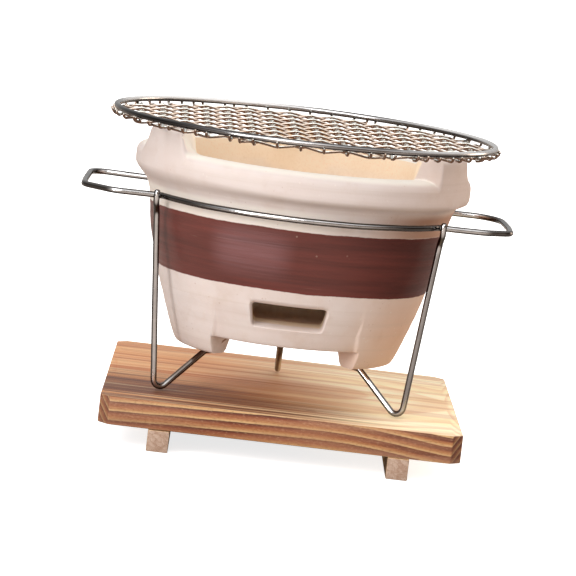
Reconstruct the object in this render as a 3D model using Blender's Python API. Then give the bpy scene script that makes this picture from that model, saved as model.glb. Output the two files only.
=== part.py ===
"""Round clay table hibachi: a fire bowl with a charcoal grate and a woven
cooking grill, standing in a three-legged wire stand on a wooden base board.

Frame: metres, +Z up, the table top is z = 0, the front of the bowl (the side
with the air vent) faces -Y, its right is +X.  The origin is the middle of the
bottom of the whole object's box; the bowl's axis is vertical at POT_X, POT_Y.

All sizes are in mm, and pieces are drawn round the bowl's axis; add_piece
moves them into the frame.  Azimuths are in degrees, from +X towards +Y.
"""
import math

import bmesh
import bpy
from mathutils import Vector

for old in list(bpy.data.objects):
    bpy.data.objects.remove(old, do_unlink=True)

# ------------------------------------------------------------ driving sizes
MM = 0.001
GAP = 0.3                  # room between neighbouring pieces
WIRE_R = 1.5               # 3 mm steel wire: hoop, legs and grill rim
WIRE_SIDES = 8

BOARD_W = 174.5            # along X
BOARD_D = 182.0            # along Y
BOARD_T = 13.7
BOARD_X = 2.5              # centre of the board from the bowl's axis
BOARD_Y = 24.5
BOARD_CHAMFER = 5.0        # upright corners
BOARD_EASE = 0.5
STRIP_W = 10.4
STRIP_H = 10.3
STRIP_X = 57.5             # each strip's middle from the board's middle
STRIP_EASE = 0.4
BOARD_Z0 = STRIP_H + GAP
BOARD_Z1 = BOARD_Z0 + BOARD_T

NAIL_R = 0.8
NAIL_HEAD_R = 2.0
NAIL_TOP_Z = 20.0          # the nail's point
NAIL_Y = 62.0              # each nail from the board's middle
NAIL_SIDES = 10

HOOP_R = 78.0              # wire centre line of the stand's hoop
HOOP_Z = 119.7
HANDLE_FRONT_Y = -40.5     # straight arms of the two handle loops
HANDLE_REAR_Y = 32.0
HANDLE_TIP_X = 102.4       # right handle; the left one is bent a little longer
HANDLE_TIP_X_LEFT = 104.2

FOOT_Z = 46.5              # underside of the bowl's three feet
LEDGE_Z = 80.2             # ledge that carries the charcoal grate
LUG_Z = 152.8              # top of the three lugs that carry the grill
LEG_AZ = (210.0, 330.0, 90.0)

GRATE_R = 53.9
GRATE_Z0 = LEDGE_Z + GAP
GRATE_T = 6.5
GRATE_SIDES = 48
GRATE_HOLE_R = 3.6
GRATE_HOLE_SIDES = 10
GRATE_HOLE_RINGS = ((0.0, 0.0, 1), (17.5, 0.0, 6), (37.5, 15.0, 12))  # radius, azimuth, count

RING_R = 93.0              # wire centre line of the grill's rim
RING_Z = 157.35
RING_POINTS = 48
GRILL_EDGE_R = RING_R + 2.6    # outside of the net's hooks
GRILL_X = -1.2             # the grill lies a touch off centre on its lugs

# The box of the whole object reaches from handle to handle, and from the
# grill in front to the board at the back.
POT_Y = (GRILL_EDGE_R - (BOARD_Y + BOARD_D / 2)) / 2
POT_X = (HANDLE_TIP_X_LEFT - HANDLE_TIP_X) / 2


# ------------------------------------------------------------------ helpers
def material(name, colour, rough, metal=0.0):
    mat = bpy.data.materials.new(name)
    mat.use_nodes = True
    shader = mat.node_tree.nodes["Principled BSDF"]
    shader.inputs["Base Color"].default_value = (*colour, 1.0)
    shader.inputs["Roughness"].default_value = rough
    shader.inputs["Metallic"].default_value = metal
    mat.diffuse_color = (*colour, 1.0)
    return mat


def lift_axis(name, z):
    """Empty on the bowl's axis, parent of the pieces that lift off together."""
    axis = bpy.data.objects.new(name, None)
    axis.location = (POT_X * MM, POT_Y * MM, z * MM)
    bpy.context.scene.collection.objects.link(axis)
    return axis


def add_piece(name, mesh, mat, parent=None, smooth=True):
    """Make an object of a bmesh (mm, round the bowl's axis), faces outwards."""
    bmesh.ops.recalc_face_normals(mesh, faces=mesh.faces)
    origin = parent.location if parent else Vector((POT_X * MM, POT_Y * MM, 0))
    for vert in mesh.verts:
        x, y, z = vert.co
        vert.co = Vector(((x + POT_X) * MM, (y + POT_Y) * MM, z * MM)) - origin
    data = bpy.data.meshes.new(name)
    mesh.to_mesh(data)
    mesh.free()
    data.materials.append(mat)
    if smooth:
        data.shade_smooth()
        data.set_sharp_from_angle(angle=math.radians(35))
    piece = bpy.data.objects.new(name, data)
    bpy.context.scene.collection.objects.link(piece)
    if parent:
        piece.parent = parent
    else:
        piece.location = origin
    return piece


def cut(target, cutter_mesh, name, parent=None):
    """Subtract a cutter that stays in the file as a hidden wire guide."""
    cutter = add_piece(name, cutter_mesh, target.data.materials[0], parent, smooth=False)
    cutter.hide_render = True
    cutter.display_type = "WIRE"
    boolean = target.modifiers.new(name, "BOOLEAN")
    boolean.operation = "DIFFERENCE"
    boolean.solver = "EXACT"
    boolean.object = cutter


def ease_edges(piece, width):
    bevel = piece.modifiers.new("eased_edges", "BEVEL")
    bevel.width = width * MM
    bevel.segments = 1
    return bevel


def clamp01(value):
    return max(0.0, min(1.0, value))


def polar(radius, azimuth, z=0.0):
    angle = math.radians(azimuth)
    return Vector((radius * math.cos(angle), radius * math.sin(angle), z))


def fillet(corners, step):
    """Round a polyline of (point, fillet radius), a point per `step` degrees."""
    rounded = []
    for i, (corner, radius) in enumerate(corners):
        if radius <= 0:
            rounded.append(corner)
            continue
        back = (corners[i - 1][0] - corner).normalized()
        ahead = (corners[(i + 1) % len(corners)][0] - corner).normalized()
        turn = math.pi - back.angle(ahead)
        reach = radius * math.tan(turn / 2)
        centre = corner + (back + ahead).normalized() * (radius / math.cos(turn / 2))
        start = corner + back * reach - centre
        end = corner + ahead * reach - centre
        count = max(2, int(math.degrees(turn) / step + 0.5))
        for j in range(count + 1):
            share = j / count
            rounded.append(centre + start * (math.sin((1 - share) * turn) / math.sin(turn))
                           + end * (math.sin(share * turn) / math.sin(turn)))
    return rounded


def wire(points, radius, sides, closed=False, up=(0, 0, 1)):
    """Sweep a round wire along points: parallel frames, mitred, flat ends."""
    mesh = bmesh.new()
    count = len(points)
    steps = [(points[(i + 1) % count] - points[i]).normalized() for i in range(count)]
    normal = Vector(up)
    rings = []
    for i, point in enumerate(points):
        arriving = steps[i - 1] if closed or i > 0 else steps[i]
        leaving = steps[i] if closed or i < count - 1 else steps[i - 1]
        tangent = (arriving + leaving).normalized()
        normal = (normal - tangent * normal.dot(tangent)).normalized()
        side = tangent.cross(normal)
        # the mitre widens the section only along the turn's own direction
        stretch = 1.0 / max(0.6, math.sqrt((1 + arriving.dot(leaving)) / 2))
        bend = leaving - arriving
        bend = bend - tangent * bend.dot(tangent)
        ring = []
        for j in range(sides):
            angle = 2 * math.pi * (j + 0.5) / sides
            offset = (normal * math.cos(angle) + side * math.sin(angle)) * radius
            if bend.length > 1e-5:
                outward = bend.normalized()
                offset = offset + outward * offset.dot(outward) * (stretch - 1.0)
            ring.append(mesh.verts.new(point + offset))
        rings.append(ring)
    for i in range(count if closed else count - 1):
        here, there = rings[i], rings[(i + 1) % count]
        for j in range(sides):
            k = (j + 1) % sides
            mesh.faces.new((here[j], here[k], there[k], there[j]))
    if not closed:
        mesh.faces.new(rings[0])
        mesh.faces.new(rings[-1])
    return mesh


def prism(outline, z0, z1, mesh=None):
    """Upright prism on a plan outline, added to `mesh` if one is given."""
    mesh = mesh or bmesh.new()
    lower = [mesh.verts.new((x, y, z0)) for x, y in outline]
    upper = [mesh.verts.new((x, y, z1)) for x, y in outline]
    mesh.faces.new(lower)
    mesh.faces.new(upper)
    for i in range(len(outline)):
        k = (i + 1) % len(outline)
        mesh.faces.new((lower[i], lower[k], upper[k], upper[i]))
    return mesh


def turned(profile, sides, centre=(0.0, 0.0)):
    """Solid of revolution of (radius, z) points, with a pole at each end."""
    mesh = bmesh.new()
    rings = []
    for radius, z in profile:
        ring = []
        for j in range(sides if radius > 0 else 1):
            spot = polar(radius, 360.0 * j / sides)
            ring.append(mesh.verts.new((spot.x + centre[0], spot.y + centre[1], z)))
        rings.append(ring)
    for here, there in zip(rings, rings[1:]):
        for j in range(sides):
            k = (j + 1) % sides
            if len(here) == 1:
                mesh.faces.new((here[0], there[k], there[j]))
            elif len(there) == 1:
                mesh.faces.new((here[j], here[k], there[0]))
            else:
                mesh.faces.new((here[j], here[k], there[k], there[j]))
    return mesh


# ---------------------------------------------------------------- materials
CLAY = material("fired_clay", colour=(0.80, 0.70, 0.64), rough=0.62)
CLAY_GRATE = material("grate_clay", colour=(0.78, 0.60, 0.43), rough=0.8)
STEEL = material("plated_wire", colour=(0.68, 0.67, 0.66), rough=0.22, metal=1.0)
NET = material("net_wire", colour=(0.62, 0.60, 0.56), rough=0.34, metal=1.0)
WOOD = material("board_wood", colour=(0.80, 0.58, 0.33), rough=0.55)
STRIP = material("strip_wood", colour=(0.84, 0.66, 0.48), rough=0.6)
NAIL = material("nail_steel", colour=(0.55, 0.55, 0.55), rough=0.4, metal=1.0)

# ------------------------------------------------------ axes of lifted parts
STAND_AXIS = lift_axis("stand_lift_axis", BOARD_Z1)
BOWL_AXIS = lift_axis("bowl_lift_axis", FOOT_Z)
GRATE_AXIS = lift_axis("grate_lift_axis", GRATE_Z0)
GRILL_AXIS = lift_axis("grill_lift_axis", LUG_Z)

# --------------------------------------------------------------- base board
# (radius, z) profiles of a nail, its hole in the strip and its bore in the board
HOLE_HEAD_R = NAIL_HEAD_R + GAP
HOLE_R = NAIL_R + GAP
NAIL_PROFILE = ((0, 0.35), (NAIL_HEAD_R, 0.35), (NAIL_HEAD_R, 1.3), (NAIL_R, 2.6),
                (NAIL_R, NAIL_TOP_Z - 1.5), (0, NAIL_TOP_Z))
STRIP_HOLE = ((0, -1), (HOLE_HEAD_R, -1), (HOLE_HEAD_R, 1.7), (HOLE_R, 3.2),
              (HOLE_R, STRIP_H + 1), (0, STRIP_H + 1))
BOARD_BORE = ((0, BOARD_Z0 - 1), (HOLE_R, BOARD_Z0 - 1),
              (HOLE_R, NAIL_TOP_Z + 1.2), (0, NAIL_TOP_Z + 1.8))


def build_board():
    wide, deep = BOARD_W / 2, BOARD_D / 2
    wide_in, deep_in = wide - BOARD_CHAMFER, deep - BOARD_CHAMFER
    outline = [(BOARD_X + x, BOARD_Y + y) for x, y in (
        (-wide_in, -deep), (wide_in, -deep), (wide, -deep_in), (wide, deep_in),
        (wide_in, deep), (-wide_in, deep), (-wide, deep_in), (-wide, -deep_in))]
    board = add_piece("base_board", prism(outline, BOARD_Z0, BOARD_Z1), WOOD, smooth=False)
    bevel = ease_edges(board, BOARD_EASE)
    bevel.limit_method = "ANGLE"
    bevel.angle_limit = math.radians(60)
    return board


def build_strip(board, x_side, side_name):
    """A strip under the board, with the two nails that go up through it."""
    name = "base_strip_" + side_name
    x = BOARD_X + x_side * STRIP_X
    left, right = x - STRIP_W / 2, x + STRIP_W / 2
    front, rear = BOARD_Y - BOARD_D / 2, BOARD_Y + BOARD_D / 2
    outline = [(left, front), (right, front), (right, rear), (left, rear)]
    strip = add_piece(name, prism(outline, 0.0, STRIP_H), STRIP, smooth=False)
    ease_edges(strip, STRIP_EASE)
    for y_side, end_name in ((-1, "front"), (1, "rear")):
        spot = (x, BOARD_Y + y_side * NAIL_Y)
        cut(strip, turned(STRIP_HOLE, NAIL_SIDES, spot), f"hole_{name}_{end_name}")
        cut(board, turned(BOARD_BORE, NAIL_SIDES, spot), f"bore_{name}_{end_name}")
        add_piece(f"nail_{side_name}_{end_name}", turned(NAIL_PROFILE, NAIL_SIDES, spot), NAIL)


base_board = build_board()
build_strip(base_board, -1, "left")
build_strip(base_board, 1, "right")

# --------------------------------------------------------------- wire stand
HOOP_STEP = 9.0            # degrees between points of the hoop's arcs
HOOP_BEND_R = 2.6          # fillet where the hoop turns into a handle
# Handle corners from front to rear: distance from the axis along X, y, fillet
RIGHT_HANDLE = ((90.0, HANDLE_FRONT_Y + 1.2, 9.0),
                (HANDLE_TIP_X, -31.0, 7.5),
                (HANDLE_TIP_X + 0.3, -8.0, 24.0),
                (HANDLE_TIP_X - 2.0, HANDLE_REAR_Y - 1.0, 15.0))
LEFT_HANDLE = ((90.0, HANDLE_FRONT_Y - 1.7, 9.0),
               (HANDLE_TIP_X_LEFT, -29.0, 7.5),
               (HANDLE_TIP_X_LEFT + 0.3, -8.0, 24.0),
               (HANDLE_TIP_X_LEFT - 0.6, HANDLE_REAR_Y + 3.6, 8.0))

# Each leg is a V of wire.  Its top laps the outside of the hoop: the rear leg
# squarely, the front legs on the front side of the bend where hoop meets handle.
LAP = 2 * WIRE_R + GAP     # between the centre lines of lapped wires
LAP_X = 69.1
LAP_Y = HANDLE_FRONT_Y - LAP - 0.3
LEGS = (("leg_front_left", LEG_AZ[0], Vector((-LAP_X, LAP_Y, 0))),
        ("leg_front_right", LEG_AZ[1], Vector((LAP_X, LAP_Y, 0))),
        ("leg_rear", LEG_AZ[2], polar(HOOP_R + LAP + 0.1, LEG_AZ[2])))
LEG_SEAT_Z = FOOT_Z - GAP - WIRE_R     # wire under the bowl's foot
# Below the lap: radius, z, fillet
LEG_PATH = ((79.0, HOOP_Z - 8.2, 4.0), (69.4, 22.35, 4.0), (43.4, LEG_SEAT_Z, 3.5),
            (40.0, LEG_SEAT_Z, 2.0), (37.2, 49.6, 0))


def hoop_arc(first_az, last_az):
    count = int((last_az - first_az) / HOOP_STEP + 0.5)
    return [(polar(HOOP_R, first_az + (last_az - first_az) * i / count, HOOP_Z),
             HOOP_BEND_R if i in (0, count) else 0) for i in range(count + 1)]


def build_hoop():
    """One closed wire: front arc, right handle, rear arc, left handle."""
    front_az = math.degrees(math.asin(-HANDLE_FRONT_Y / HOOP_R))
    rear_az = math.degrees(math.asin(HANDLE_REAR_Y / HOOP_R))
    corners = hoop_arc(180 + front_az, 360 - front_az)
    corners += [(Vector((x, y, HOOP_Z)), radius) for x, y, radius in RIGHT_HANDLE]
    corners += hoop_arc(rear_az, 180 - rear_az)
    corners += [(Vector((-x, y, HOOP_Z)), radius) for x, y, radius in reversed(LEFT_HANDLE)]
    hoop = wire(fillet(corners, step=22.0), WIRE_R, WIRE_SIDES, closed=True)
    add_piece("stand_hoop", hoop, STEEL, STAND_AXIS)


def build_leg(name, azimuth, lap):
    corners = [(lap + Vector((0, 0, HOOP_Z + 2.6)), 0),
               (lap + Vector((0, 0, HOOP_Z - 3.2)), 2.2)]
    corners += [(polar(radius, azimuth, z), bend) for radius, z, bend in LEG_PATH]
    # the second corner of the V's upper end shares the fillet table's order
    leg = wire(fillet(corners, step=26.0), WIRE_R, WIRE_SIDES, up=polar(1, azimuth))
    add_piece(name, leg, STEEL, STAND_AXIS)


build_hoop()
for leg_spec in LEGS:
    build_leg(*leg_spec)

# ---------------------------------------------------------------- fire bowl
FOOT_HALF = 20.8           # half width of a foot, degrees
FOOT_RUNOUT = 2.2          # degrees
FOOT_IN_R = 41.5
FOOT_PROUD = 1.6           # the feet stand this far out of the body
FOOT_FADE_Z = 76.0         # and fade into it up to here
FOOT_FADE_H = 22.0
ARCH_Z = 55.4              # top of the openings between the feet
UNDER_Z = ARCH_Z + 1.6     # middle of the underside
FLOOR_Z = 67.0             # floor of the ash chamber
LEDGE_R = 48.5
BORE_R0 = 54.9             # fire chamber at the ledge
BORE_R1 = 67.3             # fire chamber at the mouth
COLLAR_R = 82.3
RIM_Z = 141.9              # rim between the lugs
LUG_PHASE = 2.5            # the lugs sit a little round from the legs
# How each lug ends, before and after its middle: half width and run-out in
# degrees at the collar, then at the bore.  The two ends that face the front
# opening are cut steeper than the others.
LUG_ENDS = {210.0: ((10.5, 9.0, 10.5, 9.0), (9.8, 5.5, 3.7, 4.6)),
            330.0: ((9.2, 2.2, 11.6, 1.7), (10.5, 9.0, 10.5, 9.0)),
            90.0: ((10.5, 6.0, 10.5, 6.0), (10.5, 6.0, 10.5, 6.0))}
BETWEEN_LUGS = (36.0, 44.0, 52.0, 60.0, -36.0, -44.0, -52.0)   # columns, degrees

# Upright profiles of the bowl, as (z, radius)
OUTER = ((FOOT_Z, 52.2), (FOOT_Z + 0.5, 53.4), (FOOT_Z + 2.6, 54.9), (55.4, 57.5),
         (64.0, 60.6), (73.5, 63.8), (83.6, 66.6), (93.0, 69.3), (102.0, 71.5),
         (110.0, 72.6), (118.0, 73.7), (121.5, 74.7), (124.6, 76.3),
         (127.3, 78.6), (129.6, 80.7), (131.6, 82.0), (133.2, COLLAR_R))
# the collar's lower edge is cut crisper round the front and right of the bowl
OUTER_CRISP = OUTER[:11] + ((121.5, 74.6), (124.2, 75.5), (126.3, 76.7),
                            (128.0, 79.3), (129.2, 81.6), (130.6, COLLAR_R))
CRISP_AZ = 310.0           # middle of the crisp part
CRISP_END = 95.0           # degrees from there to where it has faded out
CRISP_FADE = 60.0          # degrees
RIM_LOW = ((136.6, COLLAR_R), (138.6, 81.8), (140.0, 80.7), (141.1, 78.6),
           (RIM_Z, 74.8), (RIM_Z, 70.0), (RIM_Z - 0.5, 68.0), (RIM_Z - 2.0, BORE_R1))
RIM_LUG = ((138.5, COLLAR_R), (145.5, 81.7), (150.9, 81.1), (152.2, 80.3),
           (LUG_Z, 78.9), (LUG_Z, 69.2), (LUG_Z - 0.6, 67.9), (LUG_Z - 2.0, BORE_R1))
BORE = ((LEDGE_Z + 26.0, BORE_R0 + 5.2), (LEDGE_Z, BORE_R0), (LEDGE_Z, LEDGE_R),
        (FLOOR_Z + 2.0, LEDGE_R - 1.6), (FLOOR_Z, LEDGE_R - 4.0))
UNDER = ((UNDER_Z, FOOT_IN_R - 3.0), (ARCH_Z - 1.0, FOOT_IN_R - 1.0),
         (FOOT_Z + 0.8, FOOT_IN_R), (FOOT_Z, FOOT_IN_R + 0.9))

OPENINGS = (("front", 270), ("right", 30), ("left", 150))
# Plan of an opening's cutter: radius, share of the half width from its middle
OPENING_PLAN = ((26.0, -1), (70.0, -1), (82.0, -0.5), (86.0, 0),
                (82.0, 0.5), (70.0, 1), (26.0, 1))

VENT_Z0 = 64.6             # sill height at VENT_SILL_Y
VENT_SILL_Y = -60.5
VENT_SLOPE = 0.17          # the sill rises inwards to the ash floor
VENT_Z1 = 76.3
VENT_W_TOP = 36.4
VENT_W_BOT = 33.2
VENT_CORNER = 1.4          # cut off the top corners
VENT_OUT_Y = -80.0         # ends of the vent's cutter
VENT_IN_Y = -36.0
VENT_TAPER = 0.96          # width at the inner end over width at the outer


def turn_between(azimuth, middle):
    """Signed turn from middle to azimuth, -180 to 180 degrees."""
    return (azimuth - middle + 180.0) % 360.0 - 180.0


def apart(azimuth, other):
    return abs(turn_between(azimuth, other))


def lug_share(azimuth, depth):
    """1 on a lug, 0 on the rim between lugs, with the cove at a lug's root.

    depth is 0 at the collar and 1 at the bore.
    """
    leg_az = min(LEG_AZ, key=lambda az: apart(azimuth, az + LUG_PHASE))
    turn = turn_between(azimuth, leg_az + LUG_PHASE)
    half0, run0, half1, run1 = LUG_ENDS[leg_az][1 if turn > 0 else 0]
    half = half0 + (half1 - half0) * depth
    runout = run0 + (run1 - run0) * depth
    return (1.0 - clamp01((abs(turn) - half) / runout)) ** 2.3


def foot_share(azimuth):
    turn = min(apart(azimuth, leg_az) for leg_az in LEG_AZ)
    return clamp01((FOOT_HALF + FOOT_RUNOUT - turn) / FOOT_RUNOUT)


def crisp_share(azimuth):
    share = clamp01((CRISP_END - apart(azimuth, CRISP_AZ)) / CRISP_FADE)
    return share * share * (3 - 2 * share)


def bowl_azimuths():
    """Azimuths of the bowl's columns: closer at the lugs and the feet."""
    angles = []
    for leg_az in LEG_AZ:
        middle = leg_az + LUG_PHASE
        angles.append(middle)
        for (half0, run0, half1, run1), side in zip(LUG_ENDS[leg_az], (-1, 1)):
            first, last = min(half0, half1), max(half0 + run0, half1 + run1)
            step = (last - first) / 6.0
            offsets = [first + step * k for k in range(7)] + [first / 2, 28.0]
            if last < 21.0:
                offsets.append((last + 28.0) / 2)
            angles += [middle + side * offset for offset in offsets]
            angles += [leg_az + side * FOOT_HALF,
                       leg_az + side * (FOOT_HALF + FOOT_RUNOUT)]
        angles += [middle + offset for offset in BETWEEN_LUGS]
    angles = sorted({round(angle % 360, 3) for angle in angles})
    return [angle for i, angle in enumerate(angles) if apart(angle, angles[i - 1]) > 0.6]


def bowl_column(azimuth):
    """Points up the outside, over the rim and down the bore."""
    foot = foot_share(azimuth)
    crisp = crisp_share(azimuth)
    column = []
    for (z0, soft_r), (z1, crisp_r) in zip(OUTER, OUTER_CRISP):
        z = z0 + (z1 - z0) * crisp
        radius = soft_r + (crisp_r - soft_r) * crisp
        low = clamp01((FOOT_FADE_Z - z) / FOOT_FADE_H)
        column.append(polar(radius - FOOT_PROUD * low * (1.0 - foot), azimuth, z))
    for (z0, low_r), (z1, lug_r) in zip(RIM_LOW, RIM_LUG):
        lug = lug_share(azimuth, (COLLAR_R - lug_r) / (COLLAR_R - BORE_R1))
        column.append(polar(low_r + (lug_r - low_r) * lug, azimuth, z0 + (z1 - z0) * lug))
    return column + [polar(radius, azimuth, z) for z, radius in BORE]


def bowl_mesh():
    mesh = bmesh.new()
    columns = []
    for azimuth in bowl_azimuths():
        wall = [mesh.verts.new(point) for point in bowl_column(azimuth)]
        under = [mesh.verts.new(polar(radius, azimuth, z)) for z, radius in UNDER]
        columns.append((wall, under))
    floor_pole = mesh.verts.new((0, 0, FLOOR_Z))
    under_pole = mesh.verts.new((0, 0, UNDER_Z))
    for i, (wall, under) in enumerate(columns):
        next_wall, next_under = columns[(i + 1) % len(columns)]
        for here, there in ((wall, next_wall), (under, next_under)):
            for j in range(len(here) - 1):
                mesh.faces.new((here[j], there[j], there[j + 1], here[j + 1]))
        mesh.faces.new((wall[-1], next_wall[-1], floor_pole))
        mesh.faces.new((under[0], next_under[0], under_pole))
        mesh.faces.new((under[-1], next_under[-1], next_wall[0], wall[0]))
    return mesh


def vent_mesh():
    bottom, top = VENT_W_BOT / 2, VENT_W_TOP / 2
    mesh = bmesh.new()
    outer, inner = [], []
    for x, z, on_sill in ((-bottom + 1, VENT_Z0 + 0.05, True),
                          (bottom - 1, VENT_Z0 + 0.05, True),
                          (bottom + 0.2, VENT_Z0 + 1.2, True),
                          (top, VENT_Z1 - VENT_CORNER, False),
                          (top - VENT_CORNER, VENT_Z1, False),
                          (-top + VENT_CORNER, VENT_Z1, False),
                          (-top, VENT_Z1 - VENT_CORNER, False),
                          (-bottom - 0.2, VENT_Z0 + 1.2, True)):
        slope = VENT_SLOPE if on_sill else 0.0
        outer.append(mesh.verts.new(
            (x, VENT_OUT_Y, z + (VENT_OUT_Y - VENT_SILL_Y) * slope)))
        inner.append(mesh.verts.new(
            (x * VENT_TAPER, VENT_IN_Y, z + (VENT_IN_Y - VENT_SILL_Y) * slope)))
    mesh.faces.new(outer)
    mesh.faces.new(list(reversed(inner)))
    for i in range(len(outer)):
        k = (i + 1) % len(outer)
        mesh.faces.new((outer[i], inner[i], inner[k], outer[k]))
    return mesh


def build_bowl():
    bowl = add_piece("fire_bowl", bowl_mesh(), CLAY, BOWL_AXIS)
    half = 60.0 - FOOT_HALF
    for name, azimuth in OPENINGS:
        plan = [polar(radius, azimuth + half * share).xy for radius, share in OPENING_PLAN]
        cut(bowl, prism(plan, FOOT_Z - 6.0, ARCH_Z), "opening_" + name, BOWL_AXIS)
    cut(bowl, vent_mesh(), "air_vent", BOWL_AXIS)


build_bowl()


# ----------------------------------------------------------- charcoal grate
def build_grate():
    top = GRATE_Z0 + GRATE_T
    profile = ((0, GRATE_Z0), (GRATE_R - 1.2, GRATE_Z0), (GRATE_R, GRATE_Z0 + 1.2),
               (GRATE_R + 0.9, top - 1.0), (GRATE_R - 0.3, top), (0, top))
    grate = add_piece("charcoal_grate", turned(profile, GRATE_SIDES), CLAY_GRATE, GRATE_AXIS)
    holes = bmesh.new()
    for radius, first_az, count in GRATE_HOLE_RINGS:
        for i in range(count):
            centre = polar(radius, first_az + 360.0 * i / count)
            outline = [(centre + polar(GRATE_HOLE_R, 360.0 * j / GRATE_HOLE_SIDES)).xy
                       for j in range(GRATE_HOLE_SIDES)]
            prism(outline, GRATE_Z0 - 2, top + 2, holes)
    cut(grate, holes, "grate_holes", GRATE_AXIS)


build_grate()

# ------------------------------------------------------------ cooking grill
NET_R = 0.57               # 1.15 mm wire of the woven net
NET_SIDES = 4
NET_Z = 154.4              # middle plane of the net
NET_PITCH = 10.8
NET_AMP = 0.76             # the crimp: half the height between crossing wires
NET_TURN = math.radians(1.5)
NET_X_AXIS = Vector((math.cos(NET_TURN), math.sin(NET_TURN), 0))
NET_Y_AXIS = Vector((-math.sin(NET_TURN), math.cos(NET_TURN), 0))
NET_X0 = NET_PITCH / 2     # first wire off the grill's middle, both ways
NET_Y0 = 0.0
NET_IN_R = RING_R - 0.4    # where the hooks begin
END_ROOM = 1.2             # no crimp closer than this to a hook
HOOK = ((94.0, 154.3), (94.9, 155.05), (95.2, 156.2))      # radius, z
GRILL_SHIFT = Vector((GRILL_X, 0, 0))


def hook(end):
    azimuth = math.degrees(math.atan2(end.y, end.x))
    return [polar(radius, azimuth, z) for radius, z in HOOK]


def net_wire(index, offset, along, across, start, sign):
    """One crimped wire: over and under its neighbours, a hook at each end."""
    half = math.sqrt(NET_IN_R ** 2 - offset ** 2)

    def height(k):
        return NET_AMP * sign * (1 if (k + index) % 2 == 0 else -1)

    def point(distance, rise):
        return across * offset + along * distance + Vector((0, 0, NET_Z + rise))

    def end_point(distance):
        crossing = (distance - start) / NET_PITCH
        k = math.floor(crossing)
        return point(distance, height(k) + (height(k + 1) - height(k)) * (crossing - k))

    points = [end_point(-half)]
    first = math.ceil((-half - start) / NET_PITCH)
    last = math.floor((half - start) / NET_PITCH)
    for k in range(first, last + 1):
        distance = start + k * NET_PITCH
        if half - abs(distance) >= END_ROOM:
            points.append(point(distance, height(k)))
    points.append(end_point(half))
    points = hook(points[0])[::-1] + points + hook(points[-1])
    return wire([spot + GRILL_SHIFT for spot in points], NET_R, NET_SIDES)


def build_grill():
    ring = [polar(RING_R, 360.0 * i / RING_POINTS, RING_Z) + GRILL_SHIFT
            for i in range(RING_POINTS)]
    add_piece("grill_rim_ring", wire(ring, WIRE_R, WIRE_SIDES, closed=True),
              STEEL, GRILL_AXIS)
    # wires running front to back, then wires running left to right
    for family, indices, along, across, start, first, sign in (
            ("long", range(-8, 8), NET_Y_AXIS, NET_X_AXIS, NET_Y0, NET_X0, 1),
            ("cross", range(-8, 9), NET_X_AXIS, NET_Y_AXIS, NET_X0, NET_Y0, -1)):
        for k in indices:
            strand = net_wire(k, first + k * NET_PITCH, along, across, start, sign)
            add_piece(f"net_{family}_{k + 9:02d}", strand, NET, GRILL_AXIS, smooth=False)


build_grill()
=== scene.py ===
"""Looks for a clay table hibachi: a footed clay bowl with a painted band, held in a
wire stand with two handles, a woven wire grill on top, a nailed wooden base below.

Z is up.  The front, with the bowl's vent, faces -Y; left is -X.  Lengths are in mm
unless a name or comment says metres; most pieces are laid out round the bowl's
axis.  Azimuths are in degrees from +X towards +Y, so 270 is the front."""

import math
import random
from types import SimpleNamespace

import bmesh
import bpy
import numpy as np
from mathutils import Matrix, Vector


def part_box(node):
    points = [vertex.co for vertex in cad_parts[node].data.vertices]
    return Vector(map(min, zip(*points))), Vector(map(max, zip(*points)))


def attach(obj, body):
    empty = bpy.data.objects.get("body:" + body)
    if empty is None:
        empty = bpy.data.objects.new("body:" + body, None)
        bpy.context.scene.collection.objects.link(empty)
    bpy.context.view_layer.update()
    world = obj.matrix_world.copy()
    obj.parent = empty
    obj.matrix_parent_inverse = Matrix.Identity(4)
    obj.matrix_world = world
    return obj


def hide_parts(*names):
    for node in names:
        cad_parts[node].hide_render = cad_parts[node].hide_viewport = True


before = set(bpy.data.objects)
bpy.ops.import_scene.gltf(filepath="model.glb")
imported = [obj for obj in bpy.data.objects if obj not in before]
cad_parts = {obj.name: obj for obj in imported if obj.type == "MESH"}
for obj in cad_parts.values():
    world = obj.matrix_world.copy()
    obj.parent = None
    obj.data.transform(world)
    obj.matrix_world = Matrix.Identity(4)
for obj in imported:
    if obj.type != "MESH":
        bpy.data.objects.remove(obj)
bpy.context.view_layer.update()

MM = 0.001
scene = bpy.context.scene

# ------------------------------------------------- places read from the CAD pieces
lo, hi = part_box("charcoal_grate")
AXIS = Vector(((lo.x + hi.x) / 2, (lo.y + hi.y) / 2, 0.0))        # bowl's axis, metres
ORIGIN = Vector((0, 0, 0))
GRATE_Z0, GRATE_Z1 = lo.z / MM, hi.z / MM
lo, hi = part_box("grill_rim_ring")
RING_Z = (lo.z + hi.z) / 2 / MM
GRILL_X = ((lo.x + hi.x) / 2 - AXIS.x) / MM                       # grill sits off the axis
GRILL_AXIS = AXIS + Vector((GRILL_X * MM, 0, 0))                  # metres
lo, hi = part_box("base_board")
BOARD_LO, BOARD_HI = lo / MM, hi / MM
lo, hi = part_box("fire_bowl")
LUG_Z = hi.z / MM

# ------------------------------------------------------------------ driving sizes
WIRE_R = 1.5                            # stand and grill rim
LEG_AZIMUTHS = (210.0, 330.0, 90.0)     # legs, bowl feet and lugs
# hoop and handles of the stand
HOOP_R, HOOP_Z = 78.0, 119.7
HANDLE_FRONT_Y, HANDLE_REAR_Y = -40.5, 32.0
# woven grill
RING_R = 93.0
NET_R = 0.66
NET_Z, NET_PITCH = 154.4, 10.8
CRIMP = 0.74                            # height of the wires' waves
CRIMP_SHIFT = 0.36                      # share the cross wires take from the long ones
LONG_START, CROSS_START = 5.4, 0.0      # offset of wire 0 in each set
NET_TURN = math.radians(1.5)
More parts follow.
